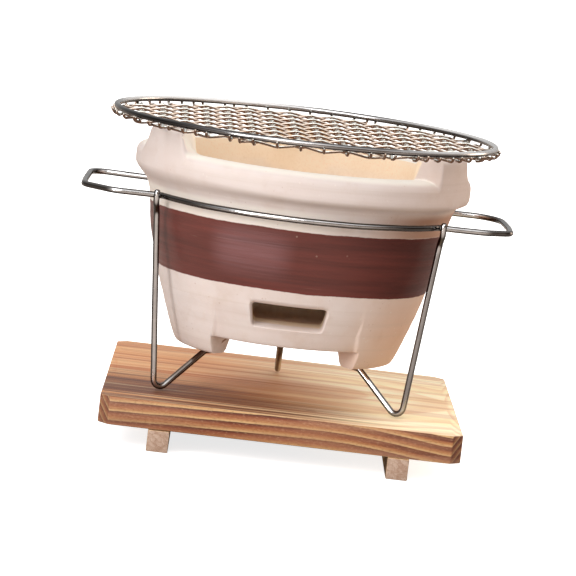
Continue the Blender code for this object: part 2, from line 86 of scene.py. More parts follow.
# bowl
FOOT_Z, ARCH_Z = 46.5, 55.4             # undersides of the feet and of the arches
FOOT_HALF = 20.8                        # half a foot's width, degrees
FOOT_IN_R, FOOT_PROUD = 41.5, 1.6
FLOOR_Z, LEDGE_Z, LEDGE_R = 67.0, 80.2, 48.5
BORE_R0, BORE_R1 = 54.9, 67.3           # chamber wall at the ledge and at the rim
COLLAR_R, RIM_Z = 82.3, 141.9
LUG_PHASE = 2.5                         # lugs sit this far past the legs, degrees


# ------------------------------------------------------------------ mesh helpers
def polar(r, azimuth, z=0.0):
    angle = math.radians(azimuth)
    return Vector((r * math.cos(angle), r * math.sin(angle), z))


def outward(mesh):
    """Turn faces outward, judged by the enclosed volume."""
    bm = bmesh.new()
    bm.from_mesh(mesh)
    bmesh.ops.recalc_face_normals(bm, faces=bm.faces)
    if bm.calc_volume(signed=True) < 0:
        bmesh.ops.reverse_faces(bm, faces=bm.faces)
    bm.to_mesh(mesh)
    bm.free()


def link_object(name, mesh):
    ob = bpy.data.objects.new(name, mesh)
    scene.collection.objects.link(ob)
    return ob


def solid(name, shell, material, origin):
    """Smooth object from a shell (points in mm round origin, faces)."""
    points, faces = shell
    mesh = bpy.data.meshes.new(name)
    mesh.from_pydata([tuple(Vector(p) * MM + origin) for p in points], [], faces)
    mesh.validate()
    outward(mesh)
    mesh.materials.append(material)
    mesh.shade_smooth()
    return link_object(name, mesh)


def soften(ob, sharp_angle):
    ob.data.shade_smooth()
    ob.data.set_sharp_from_angle(angle=math.radians(sharp_angle))


def register(ob, body, node):
    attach(ob, body)
    if node:
        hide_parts(node)


def make(name, shell, material, body, node, sharp_angle, origin=AXIS):
    ob = solid(name, shell, material, origin)
    ob.data.set_sharp_from_angle(angle=math.radians(sharp_angle))
    register(ob, body, node)
    return ob


def bake_modifiers(ob):
    depsgraph = bpy.context.evaluated_depsgraph_get()
    baked = bpy.data.meshes.new_from_object(ob.evaluated_get(depsgraph))
    ob.modifiers.clear()
    ob.data = baked


def cut(target, shell, name, origin=AXIS):
    cutter = solid(name, shell, target.data.materials[0], origin)
    modifier = target.modifiers.new("cut", "BOOLEAN")
    modifier.operation = "DIFFERENCE"
    modifier.solver = "MANIFOLD"
    modifier.object = cutter
    bake_modifiers(target)
    bpy.data.objects.remove(cutter)


def bridge(ring, following):
    """Quads between two closed rings of vertex indices."""
    n = len(ring)
    return [(ring[j], ring[(j + 1) % n], following[(j + 1) % n], following[j])
            for j in range(n)]


def capped(rings):
    """Shell through rings of points, closed by a flat cap at each end."""
    size = len(rings[0])
    rows = [tuple(range(i * size, (i + 1) * size)) for i in range(len(rings))]
    faces = []
    for pair in zip(rows, rows[1:]):
        faces += bridge(*pair)
    return [p for ring in rings for p in ring], faces + [rows[0][::-1], rows[-1]]


def turned(profile, x, y, sides=24):
    """Shell turned round the upright line at x, y from (radius, z) pairs."""
    rings = []
    for r, z in profile:
        spokes = [polar(r, 360.0 * j / sides) for j in range(sides)]
        rings.append([Vector((x + s.x, y + s.y, z)) for s in spokes])
    return capped(rings)


def fillet(points, radii, step, closed=False):
    """Round a polyline's corners, one point per step degrees of turn."""
    out = []
    n = len(points)
    for i, corner in enumerate(points):
        corner = Vector(corner)
        radius = radii[i]
        if radius <= 0 or (not closed and i in (0, n - 1)):
            out.append(corner)
            continue
        back = (Vector(points[i - 1]) - corner).normalized()
        ahead = (Vector(points[(i + 1) % n]) - corner).normalized()
        turn = math.pi - back.angle(ahead)
        if turn < 1e-3:
            out.append(corner)
            continue
        tangent = radius * math.tan(turn / 2)
        centre = corner + (back + ahead).normalized() * (radius / math.cos(turn / 2))
        first = corner + back * tangent - centre
        last = corner + ahead * tangent - centre
        count = max(2, int(math.degrees(turn) / step + 0.5))
        for j in range(count + 1):
            f = j / count
            out.append(centre + first * (math.sin((1 - f) * turn) / math.sin(turn))
                       + last * (math.sin(f * turn) / math.sin(turn)))
    return out


def resample(points, spacing, closed=False):
    """Even points along a polyline, so that bends and bumps shade smoothly."""
    line = [np.array(p, float) for p in points]
    if closed:
        line.append(line[0])
    line = np.array(line)
    run = np.r_[0, np.cumsum(np.linalg.norm(np.diff(line, axis=0), axis=1))]
    count = max(2, int(round(run[-1] / spacing)))
    stations = np.linspace(0, run[-1], count + 1)
    if closed:
        stations = stations[:-1]
    return [Vector([float(np.interp(s, run, line[:, k])) for k in range(3)])
            for s in stations]


def tube(points, radius, sides, closed=False, up=(0, 0, 1), domed=0.7):
    """Sweep a round wire.  radius is a number or a function of the distance run;
    open ends are domed to this share of the radius."""
    n = len(points)
    verts, faces, rings = [], [], []
    up = Vector(up)
    run = 0.0
    for i, p in enumerate(points):
        if closed:
            tangent = (points[(i + 1) % n] - points[i - 1]).normalized()
        else:
            tangent = (points[min(i + 1, n - 1)] - points[max(i - 1, 0)]).normalized()
        if i:
            run += (p - points[i - 1]).length
        up = up - tangent * up.dot(tangent)
        if up.length < 1e-6:
            up = tangent.orthogonal()
        up.normalize()
        side = tangent.cross(up)
        r = radius(run) if callable(radius) else radius
        row = range(len(verts), len(verts) + sides)
        for j in range(sides):
            a = 2 * math.pi * j / sides
            verts.append(p + (up * math.cos(a) + side * math.sin(a)) * r)
        rings.append((row, p, tangent, r))
    for i in range(n if closed else n - 1):
        faces += bridge(rings[i][0], rings[(i + 1) % n][0])
    if closed:
        return verts, faces
    for end, sign in ((0, -1), (-1, 1)):
        row, p, tangent, r = rings[end]
        previous = row
        for f in (0.55, 0.85):          # rings of the dome, as shares of its height
            r_dome = r * math.sqrt(1 - f * f)
            current = range(len(verts), len(verts) + sides)
            verts += [p + (verts[v] - p).normalized() * r_dome
                      + tangent * (sign * r * domed * f) for v in row]
            faces += [quad[::sign] for quad in bridge(previous, current)]
            previous = current
        tip = len(verts)
        verts.append(p + tangent * (sign * r * domed))
        for j in range(sides):
            faces.append((previous[j], previous[(j + 1) % sides], tip)[::sign])
    return verts, faces


def wobble(seed, height, length):
    """Smooth pseudo-random function of distance."""
    rnd = random.Random(seed)
    waves = [(rnd.uniform(0.6, 1.7) / length, rnd.uniform(0, 6.283), rnd.uniform(0.4, 1.0))
             for _ in range(4)]
    total = sum(weight for _, _, weight in waves)
    return lambda s: height * sum(
        weight * math.sin(6.283 * s * rate + phase) for rate, phase, weight in waves) / total


def smooth01(t):
    t = max(0.0, min(1.0, t))
    return t * t * (3 - 2 * t)


# ----------------------------------------------------------------- shader helpers
class Value:
    """A node's output; arithmetic on it adds Math nodes to its graph."""

    def __init__(self, graph, output):
        self.graph = graph
        self.output = output

    def __add__(self, other):
        return self.graph.math("ADD", self, other)

    def __radd__(self, other):
        return self.graph.math("ADD", other, self)

    def __sub__(self, other):
        return self.graph.math("SUBTRACT", self, other)

    def __rsub__(self, other):
        return self.graph.math("SUBTRACT", other, self)

    def __mul__(self, other):
        return self.graph.math("MULTIPLY", self, other)

    def __truediv__(self, other):
        return self.graph.math("DIVIDE", self, other)

    def __abs__(self):
        return self.graph.math("ABSOLUTE", self)

    def step(self, start, end, low=0.0, high=1.0):
        """Smooth change from low at start to high at end; start may exceed end."""
        return self.graph.node("MapRange", {
            "Value": self, "From Min": start, "From Max": end,
            "To Min": low, "To Max": high}, interpolation_type="SMOOTHSTEP")

    def tint(self, colour, where, amount=None):
        """This colour with another laid over it where the mask is 1, times amount."""
        return self.graph.mix(self, colour, where if amount is None else where * amount)


class Graph:
    """The nodes of one material or world, written as expressions."""

    def __init__(self, owner, shader, output):
        owner.use_nodes = True
        self.tree = owner.node_tree
        self.tree.nodes.clear()
        end = self.tree.nodes.new("ShaderNodeOutput" + output)
        self.shader = self.tree.nodes.new("ShaderNode" + shader)
        self.tree.links.new(self.shader.outputs[0], end.inputs[0])

    def feed(self, node, inputs):
        """Link each named input to a Value or set it to a constant."""
        for name, value in inputs.items():
            socket = node.inputs[name]
            if isinstance(value, Value):
                self.tree.links.new(value.output, socket)
            elif socket.type == "RGBA":
                socket.default_value = (*value, 1)
            else:
                socket.default_value = value

    def shade(self, inputs):
        self.feed(self.shader, inputs)

    def node(self, kind, inputs, output=0, **settings):
        node = self.tree.nodes.new("ShaderNode" + kind)
        for name, value in settings.items():
            setattr(node, name, value)
        self.feed(node, inputs)
        return Value(self, node.outputs[output])

    def math(self, operation, first, second=0.0):
        return self.node("Math", {0: first, 1: second, 2: 0.0}, operation=operation)

    def coord(self, kind="Object"):
        return self.node("TexCoord", {}, kind)

    def split(self, vector):
        x = self.node("SeparateXYZ", {0: vector})
        return (x, *(Value(self, x.output.node.outputs[k]) for k in (1, 2)))

    def normal(self):
        return self.split(self.coord("Normal"))

    def join(self, x, y, z):
        return self.node("CombineXYZ", {0: x, 1: y, 2: z})

    def vector(self, operation, first, second=(0, 0, 0), output="Vector"):
        return self.node("VectorMath", {0: first, 1: second}, output, operation=operation)

    def shifted(self, vector, offset):
        return self.vector("ADD", vector, offset)

    def relative_to(self, origin):
        """Object coordinates from an origin, metres."""
        return self.vector("SUBTRACT", self.coord(), tuple(origin))

    def length(self, x, y):
        return self.vector("LENGTH", self.join(x, y, 0.0), output="Value")

    def noise(self, vector, scale, detail=3.0, rough=0.55):
        return self.node("TexNoise", {"Vector": vector, "Scale": scale,
                                      "Detail": detail, "Roughness": rough})

    def grain(self, xyz, scales, detail=3.0, rough=0.55, shifts=(0.0, 0.0, 0.0)):
        """Noise with its own scale and shift on each axis; scale 0 leaves an axis out."""
        parts = []
        for axis, scale, shift in zip(xyz, scales, shifts):
            part = axis * scale + shift if scale and shift else axis * scale if scale else shift
            parts.append(part)
        return self.noise(self.join(*parts), 1.0, detail, rough)

    def cells(self, vector, scale):
        """Distance to the nearest of randomly scattered points."""
        return self.node("TexVoronoi", {"Vector": vector, "Scale": scale}, "Distance")

    def mix(self, first, second, where):
        return self.node("Mix", {0: where, 6: first, 7: second}, 2,
                         data_type="RGBA", clamp_factor=True)

    def mix_number(self, first, second, where):
        return self.node("Mix", {0: where, 2: first, 3: second}, data_type="FLOAT")

    def ramp(self, position, stops):
        """Colour ramp through (position, colour) stops."""
        ramp = self.node("ValToRGB", {0: position})
        elements = ramp.output.node.color_ramp.elements
        while len(elements) > 1:
            elements.remove(elements[-1])
        for i, (at, colour) in enumerate(stops):
            element = elements.new(at) if i else elements[0]
            element.position = at
            element.color = (*colour, 1)
        return ramp

    def bump(self, height, strength, distance, normal=None):
        inputs = {"Height": height, "Strength": strength, "Distance": distance}
        if normal:
            inputs["Normal"] = normal
        return self.node("Bump", inputs)


def new_material(name):
    material = bpy.data.materials.new(name)
    return material, Graph(material, "BsdfPrincipled", "Material")


def srgb(*channels):
    """Linear colour from 0-255 display channels."""
    shares = [c / 255.0 for c in channels]
    return tuple(c / 12.92 if c <= 0.04045 else ((c + 0.055) / 1.055) ** 2.4 for c in shares)


# ------------------------------------------------------------------ clay material
def clay_fields(g):
    """Coordinates round the bowl's axis and the noises all parts of the clay share."""
    place = g.relative_to(AXIS)
    xyz = x, y, z = g.split(place)
    radius = g.length(x, y)
    z_mm = z * 1000.0
    return SimpleNamespace(
        place=place, xyz=xyz, x=x, y=y, radius=radius, z_mm=z_mm, r_mm=radius * 1000.0,
        cloud=g.noise(place, scale=22.0, detail=4.0, rough=0.6),
        small_cloud=g.noise(g.shifted(place, (3.1, 1.7, 0.4)), scale=70.0, detail=4.0,
                            rough=0.6),
        fine=g.noise(place, scale=900.0, detail=3.0, rough=0.6),
        grit=g.noise(place, scale=2600.0, detail=2.0, rough=0.5),
        throwing=g.grain(xyz, (6.0, 6.0, 420.0), detail=4.0, rough=0.6),
        rightness=x / radius,                          # -1 at the left, 1 at the right
        # radius of the chamber wall at this height
        bore=(z_mm - LEDGE_Z) * ((BORE_R1 - BORE_R0) / 60.0) + BORE_R0)


def unglazed_colour(g, at):
    """Pinkish white clay with clouds, throwing lines and specks."""
    z_mm, rightness = at.z_mm, at.rightness
    body = g.mix(srgb(233, 221, 215), srgb(226, 210, 202), at.cloud.step(0.38, 0.68))
    body = body.tint(srgb(212, 190, 174), at.small_cloud.step(0.5, 0.72), amount=0.35)
    # painted warm shade on the right, stronger low down; greyer collar
    painted_right_shade = (at.x / at.radius).step(0.30, 0.95) * z_mm.step(120.0, 50.0, low=0.35)
    body = body.tint(srgb(224, 174, 134), painted_right_shade, amount=0.68)
    body = body.tint(srgb(216, 202, 196), z_mm.step(125.0, 127.0), amount=0.36)
    # neck between band and collar: painted light at the left, painted warm shade at the right
    lit_neck_left = z_mm.step(113.0, 114.5) * z_mm.step(124.5, 122.0)
    body = body.tint(srgb(248, 240, 230), lit_neck_left * rightness.step(0.45, -0.05), amount=0.85)
    shaded_neck_right = z_mm.step(126.5, 122.5) * (
        z_mm.step(113.0, 114.5) * rightness.step(0.40, 0.85))
    body = body.tint(srgb(186, 136, 106), shaded_neck_right, amount=0.85)
    # painted shadow: a slanting dark line on the end of the front left foot
    shadow_line = abs((z_mm - 55.0) + (at.r_mm - 42.5) * 0.55).step(0.85, 0.35)
    shadow_line = shadow_line * (at.r_mm.step(48.6, 47.4) * z_mm.step(49.0, 50.0))
    shadow_line = shadow_line * (at.x.step(0.0, -0.010) * at.y.step(-0.030, -0.034))
    body = body.tint(srgb(112, 66, 42), shadow_line, amount=0.9)
    # tanner feet, throwing lines, brown specks, pale specks
    body = body.tint(srgb(216, 196, 180), z_mm.step(66.0, 47.0), amount=0.20)
    body = body.tint(srgb(204, 184, 168), at.throwing.step(0.50, 0.78), amount=0.25)
    speck = g.cells(at.place, scale=330.0).step(0.16, 0.08)
    speck = speck * g.noise(at.place, scale=60.0, detail=2.0).step(0.50, 0.66)
    body = body.tint(srgb(176, 138, 110), speck, amount=0.38)
    pale = g.cells(g.shifted(at.place, (0.7, 0.2, 0.9)), scale=210.0).step(0.12, 0.05)
    return body.tint(srgb(236, 226, 218), pale, amount=0.5)


def fired_parts(g, at, colour):
    """Adds the tan chamber, a painted highlight on the rim top and painted light on the left
    lug's end faces.
    """
    z_mm = at.z_mm
    inside = (at.r_mm - at.bore).step(1.6, 0.2) * z_mm.step(152.0, 149.5)
    inside = inside * z_mm.step(64.5, 66.5)
    tan = g.mix(srgb(238, 218, 192), srgb(230, 206, 176), at.cloud.step(0.35, 0.7))
    tan = tan.tint(srgb(216, 186, 148), at.fine.step(0.45, 0.7), amount=0.25)
    colour = colour.tint(tan, inside)
    # painted highlight: the upward-facing top of the rim is lighter
    rim_top_highlight = z_mm.step(139.6, 141.6) * (at.r_mm - at.bore).step(0.0, 1.5)
    normal_x, _, normal_z = g.normal()
    rim_top_highlight = rim_top_highlight * normal_z.step(0.35, 0.75) * z_mm.step(144.0, 142.4)
    colour = colour.tint(srgb(255, 248, 236), rim_top_highlight, amount=0.85)
    # painted light on the lug ends facing right, in the front left quarter
    lit_lug_ends = z_mm.step(141.0, 143.5) * normal_x.step(0.35, 0.75) * at.x.step(0.0, -0.010)
    lit_lug_ends = lit_lug_ends * at.y.step(0.0, -0.010)
    colour = colour.tint(srgb(255, 244, 228), lit_lug_ends, amount=0.85)
    return colour, inside, tan, lit_lug_ends


def painted_band(g, at):
    """Red-brown brushed paint with uneven edges; returns its colour and masks."""
    drift = (g.grain(at.xyz, (30.0, 30.0, 0.0)) - 0.5) * 1.5
    nibble = (g.noise(at.place, scale=260.0, detail=3.0, rough=0.7) - 0.5) * 0.55
    height = (at.z_mm + drift) + nibble
    band = height.step(83.3, 83.75) * height.step(114.0, 113.55)
    band = band * (at.r_mm - at.bore).step(4.0, 6.0)
    # brush marks run round the bowl
    strokes = g.grain(at.xyz, (22.0, 22.0, 950.0), detail=5.0, rough=0.68)
    coarse = g.grain(at.xyz, (10.0, 10.0, 230.0), detail=3.0, rough=0.6)
    paint = g.mix(srgb(114, 57, 50), srgb(88, 46, 41), coarse.step(0.30, 0.72))
    paint = paint.tint(srgb(140, 88, 76), strokes.step(0.56, 0.80), amount=0.30)
    paint = paint.tint(srgb(72, 40, 37), strokes.step(0.42, 0.24), amount=0.35)
    # lighter sheen where the wall faces front and a little left
    facing = (at.x * -0.31 + at.y * -0.951) / at.radius
    sheen = facing.step(0.945, 0.998) * abs(at.z_mm - 101.0).step(16.0, 1.0)
    paint = paint.tint(srgb(150, 108, 110), sheen * strokes.step(0.20, 0.75, 0.28, 0.62))
    # redder edges; painted shade darkens the right side
    paint = paint.tint(srgb(112, 46, 40), abs(height - 98.7).step(13.6, 15.1), amount=0.55)
    paint = paint.tint(srgb(66, 28, 22), at.rightness.step(0.25, 0.85), amount=0.42)
    # scratches and worn spots
    scratch = g.grain(at.xyz, (55.0, 55.0, 2600.0), detail=2.0, rough=0.5).step(0.70, 0.78)
    scratch = scratch * g.noise(at.place, scale=34.0, detail=2.0).step(0.52, 0.62)
    paint = paint.tint(srgb(176, 138, 120), scratch, amount=0.45)
    worn = g.cells(g.shifted(at.place, (0.3, 0.9, 0.1)), scale=150.0).step(0.10, 0.05)
    worn = worn * at.small_cloud.step(0.48, 0.6)
    paint = paint.tint(srgb(190, 160, 142), worn, amount=0.5)
    return paint, band, strokes, scratch


def clay_material():
    """Unglazed pale clay, tan where it is fired inside, with the brushed-on band."""
    material, g = new_material("fired_clay_painted")
    at = clay_fields(g)
    colour, inside, tan, lit_lug_ends = fired_parts(g, at, unglazed_colour(g, at))
    paint, band, strokes, scratch = painted_band(g, at)
    colour = colour.tint(paint, band)
    # painted shade: the chamber is darker below the grate, most of all by the vent
    chamber_shade = at.r_mm.step(47.6, 46.9) * (at.z_mm.step(78.0, 77.0) * at.z_mm.step(57.5, 58.5))
    chamber_shade = chamber_shade * (at.y * 1000.0).step(10.0, -40.0, low=0.05, high=0.50)
    colour = colour.tint(srgb(150, 88, 60), chamber_shade)
    rough_clay = 0.60 + (at.small_cloud - 0.5) * 0.25
    rough_paint = 0.36 + ((strokes - 0.5) * 0.35 + scratch * 0.2)
    # painted light: emission brightens the upper chamber wall and the lit lug ends
    glow = inside * at.z_mm.step(92.0, 138.0) * 0.22 + lit_lug_ends * 0.14
    relief = at.fine * 0.5 + at.grit * 0.35 + at.throwing * 0.6
    relief = g.mix_number(relief, strokes * 1.1 + at.grit * 0.12, band)
    normal = g.bump(relief, strength=0.30, distance=0.00035)
    pits = g.cells(at.place, scale=520.0).step(0.05, 0.2)
    g.shade({
        "Base Color": colour,
        "Roughness": g.mix_number(rough_clay, rough_paint, band),
        "Specular IOR Level": g.mix_number(
            0.35, at.rightness.step(0.15, 0.75, low=0.48, high=0.10), band),
        "Emission Color": g.mix((1.0, 0.93, 0.84), tan, inside),
        "Emission Strength": glow,
        "Subsurface Weight": 0.04,
        "Subsurface Radius": (0.004, 0.0025, 0.0015),
        "Normal": g.bump(pits, strength=0.10, distance=0.0003, normal=normal)})
    return material


def grate_material():
    """Coarse sandy clay."""
    material, g = new_material("rough_grate_clay")
    place = g.coord()
    cloud = g.noise(place, scale=60.0, detail=4.0, rough=0.6)
    fine = g.noise(place, scale=1400.0, detail=4.0, rough=0.65)
    colour = g.mix(srgb(222, 186, 142), srgb(198, 156, 112), cloud.step(0.35, 0.7))
    colour = colour.tint(srgb(150, 112, 80), fine.step(0.55, 0.75), amount=0.4)
    spot = g.cells(place, scale=300.0).step(0.14, 0.06)
    colour = colour.tint(srgb(240, 214, 178), spot, amount=0.6)
    g.shade({"Base Color": colour, "Roughness": 0.86,
             "Normal": g.bump(fine + cloud * 0.5, strength=0.45, distance=0.0006)})
    return material


# ----------------------------------------------------------------- wire materials
def scaled(colour, *factors):
    return tuple(c * f for c, f in zip(colour, factors * 3))


def painted_crossing_highlights(g, place, colour):
    """Painted highlights where the net wires cross, with painted brown reflection between."""
    x, y, _ = g.split(g.vector("SUBTRACT", place, tuple(GRILL_AXIS)))
    # net pitches along the turned cross wires, per metre of x and of y
    pitches = x * 92.561 + y * 2.424
    crown = abs(g.math("COSINE", (pitches - 0.5) * math.pi)).step(0.50, 0.86)
    colour = colour.tint((0.62, 0.46, 0.36), 1.0 - crown, amount=0.55)
    return colour.tint((0.97, 1.0, 0.94), crown, amount=0.80)


def painted_stand_shading(g, place, colour):
    """Painted shade on the stand wire below the bowl; edges in metres round the bowl's axis."""
    x, y, z = g.split(g.vector("SUBTRACT", place, tuple(AXIS)))
    radius = g.length(x, y)
    brown = radius.step(0.067, 0.058) * z.step(0.056, 0.050) * x.step(0.010, -0.010)
    colour = colour.tint((0.13, 0.085, 0.06), brown, amount=0.80)
    # painted shade on the upper part of the front right leg
    right_leg_shade = x.step(0.050, 0.056) * (y.step(-0.010, -0.020) * z.step(0.110, 0.104))
    right_leg_shade = right_leg_shade * radius.step(0.060, 0.066)
    colour = colour.tint((0.20, 0.185, 0.18), right_leg_shade, amount=0.50)
    # rear leg: painted shade on its left, painted warm reflection on its right
    rear = y.step(0.050, 0.060) * z.step(0.10, 0.09)
    warm = g.mix((0.24, 0.17, 0.12), (0.96, 0.84, 0.70), g.normal()[0].step(-0.2, 0.5))
    return colour.tint(warm, rear, amount=0.62)


def painted_rim_reflections(g, place, colour):
    """Grill rim with painted bright reflections at the rear left and the right; returns the
    metallic share too.
    """
    x, y, _ = g.split(g.vector("SUBTRACT", place, tuple(GRILL_AXIS)))
    bright_reflection = y.step(-0.010, 0.030) * x.step(0.020, -0.030)
    bright_reflection = g.math("MAXIMUM", bright_reflection, x.step(0.030, 0.075) * 0.75)
    upness = g.normal()[2]
    bright_reflection = bright_reflection * upness.step(-0.25, 0.35)
    colour = colour.tint((0.90, 0.89, 0.88), bright_reflection, amount=0.85)
    # painted dark reflections on two stretches along the front
    dark_reflection = abs(x + 0.056).step(0.046, 0.026)
    dark_reflection = g.math("MAXIMUM", dark_reflection, abs(x - 0.022).step(0.022, 0.008) * 0.7)
    dark_reflection = dark_reflection * y.step(-0.010, -0.030)
    colour = colour.tint((0.035, 0.032, 0.032), dark_reflection, amount=0.66)
    # painted dark reflection on the flanks at the rear right
    rear = y.step(0.015, 0.045) * x.step(-0.035, 0.015) * upness.step(0.50, 0.15)
    return colour.tint((0.045, 0.040, 0.038), rear, amount=0.75), 1.0 - bright_reflection * 0.75


def wire_material(name, tint, rough, edge, net=False, shaded_stand=False, rim_reflection_paint=False):
    """Bright plated wire: cloudy plating and small matt spots.
    edge is where its painted dark flank (painted shade and reflection) starts and ends, then
    how bright the flank is; it follows the view angle, or on the net's wires how far the
    surface faces up."""
    edge_start, edge_end, level = edge
    material, g = new_material(name)
    place = g.coord()
    cloud = g.noise(place, scale=120.0, detail=3.0, rough=0.6)
    fine = g.noise(place, scale=1500.0, detail=3.0, rough=0.6)
    spots = g.noise(place, scale=420.0, detail=4.0, rough=0.7).step(0.62, 0.72)
    colour = g.mix(tint, scaled(tint, 0.74), cloud.step(0.3, 0.75))
    if net:
        warm = g.noise(place, scale=55.0, detail=2.0).step(0.42, 0.66)
        colour = colour.tint(srgb(196, 158, 124), warm, amount=0.30)
    colour = colour.tint(scaled(tint, 0.45), spots, amount=0.35)
    # painted shade and reflection: darker flanks, on the net where the wire faces down,
    # elsewhere towards its edges as seen
    if net:
        flank = g.normal()[2].step(edge_end, edge_start)
        colour = painted_crossing_highlights(g, place, colour)
        colour = colour.tint((level * 1.25, level * 0.78, level * 0.54), flank)
    else:
        flank = g.node("LayerWeight", {"Blend": 0.5}, "Facing").step(edge_start, edge_end)
        colour = colour.tint((level, level * 0.92, level * 0.88), flank)
    if shaded_stand:
        colour = painted_stand_shading(g, place, colour)
    metallic = 1.0
    if rim_reflection_paint:
        colour, metallic = painted_rim_reflections(g, place, colour)
    g.shade({
        "Base Color": colour, "Metallic": metallic,
        "Roughness": rough + ((cloud - 0.5) * 0.10 + spots * 0.22),
        "Normal": g.bump(fine * 0.5 + cloud * 0.8, strength=0.12 * (0.7 if net else 1.0),
                         distance=0.0004)})
    return material


# ----------------------------------------------------------------- wood materials
def board_fields(g):
    """Coordinates from the board's bottom centre, grain noises and growth rings."""
    centre = (BOARD_LO + BOARD_HI) / 2
    xyz = g.split(g.relative_to((centre.x * MM, centre.y * MM, BOARD_LO.z * MM)))
    x_mm, y_mm, z_mm = (axis * 1000.0 for axis in xyz)
    # the rings wander, ripple, and sink towards both ends of the board
    drift = (g.grain(xyz, (7.0, 9.0, 6.0), detail=1.0, rough=0.4,
                     shifts=(0.0, 0.0, 2.3)) - 0.5) * 4.2
    ripple = (g.grain(xyz, (42.0, 90.0, 110.0), detail=3.0, rough=0.6) - 0.5) * 0.75
    sag = x_mm.step(5.0, 88.0) * x_mm.step(5.0, 88.0) * 4.6
    rise = x_mm.step(-90.0, 0.0) * -1.3
    # they crown just in front of the middle; beyond 82.2 mm they slant on the end cuts
    from_crown = y_mm + 4.0
    hill = from_crown * from_crown * 0.0020
    hill = hill + g.math("MAXIMUM", abs(x_mm) - 82.2, 0.0) * -1.15
    depth = ((z_mm + hill) + (sag + rise)) + (ripple + drift)
    ring_width = 4.45
    return SimpleNamespace(
        xyz=xyz, x_mm=x_mm, y_mm=y_mm, z_mm=z_mm,
        ring=g.math("FRACT", (depth + 400.0) / ring_width),
        fibre=g.grain(xyz, (30.0, 1300.0, 1300.0), detail=4.0, rough=0.7),
        coarse_fibre=g.grain(xyz, (9.0, 330.0, 330.0), detail=3.0, rough=0.6))


def sawn_edge(g, at, normal_x, normal_y):
    """Broad red-brown bands parted by fine cream lines."""
    ring, x_mm = at.ring, at.x_mm
    blotch = g.grain(at.xyz, (11.0, 26.0, 120.0), detail=3.0, rough=0.6)
    edge = g.ramp(ring, [
        (0.0, srgb(240, 196, 136)), (0.09, srgb(210, 154, 98)), (0.36, srgb(172, 104, 62)),
        (0.60, srgb(138, 70, 40)), (0.76, srgb(78, 38, 27)), (0.845, srgb(84, 42, 30)),
        (0.885, srgb(248, 208, 150)), (1.0, srgb(240, 196, 138))])
    # darker bands to the right, light and dark blotches, fibres, paler left end
    right_bands = x_mm.step(0.0, 85.0) * (ring.step(0.30, 0.5) * ring.step(0.87, 0.85))
    edge = edge.tint(srgb(98, 50, 36), right_bands)
    edge = edge.tint(srgb(192, 138, 104), blotch.step(0.48, 0.66), amount=0.45)
    edge = edge.tint(srgb(118, 62, 44), blotch.step(0.46, 0.30), amount=0.45)
    edge = edge.tint(srgb(212, 166, 124), at.coarse_fibre.step(0.50, 0.68), amount=0.28)
    edge = edge.tint(srgb(206, 164, 136), x_mm.step(-20.0, -88.0), amount=0.24)
    # saw grit, darker cut corners, paler lower arris, then an even brown wash
    grit = g.grain(at.xyz, (520.0, 900.0, 1500.0), detail=3.0, rough=0.7)
    edge = edge.tint(srgb(112, 66, 46), grit.step(0.50, 0.66), amount=0.34)
    edge = edge.tint(srgb(228, 186, 142), grit.step(0.46, 0.34), amount=0.26)
    corner = abs(normal_x).step(0.40, 0.60) * abs(normal_y).step(0.40, 0.60)
    edge = edge.tint(srgb(84, 44, 32), corner, amount=0.42)
    low = at.z_mm.step(4.0, 0.5) * blotch.step(0.35, 0.6)
    edge = edge.tint(srgb(214, 172, 142), low, amount=0.35)
    return edge.tint(srgb(100, 46, 30), where=0.26)


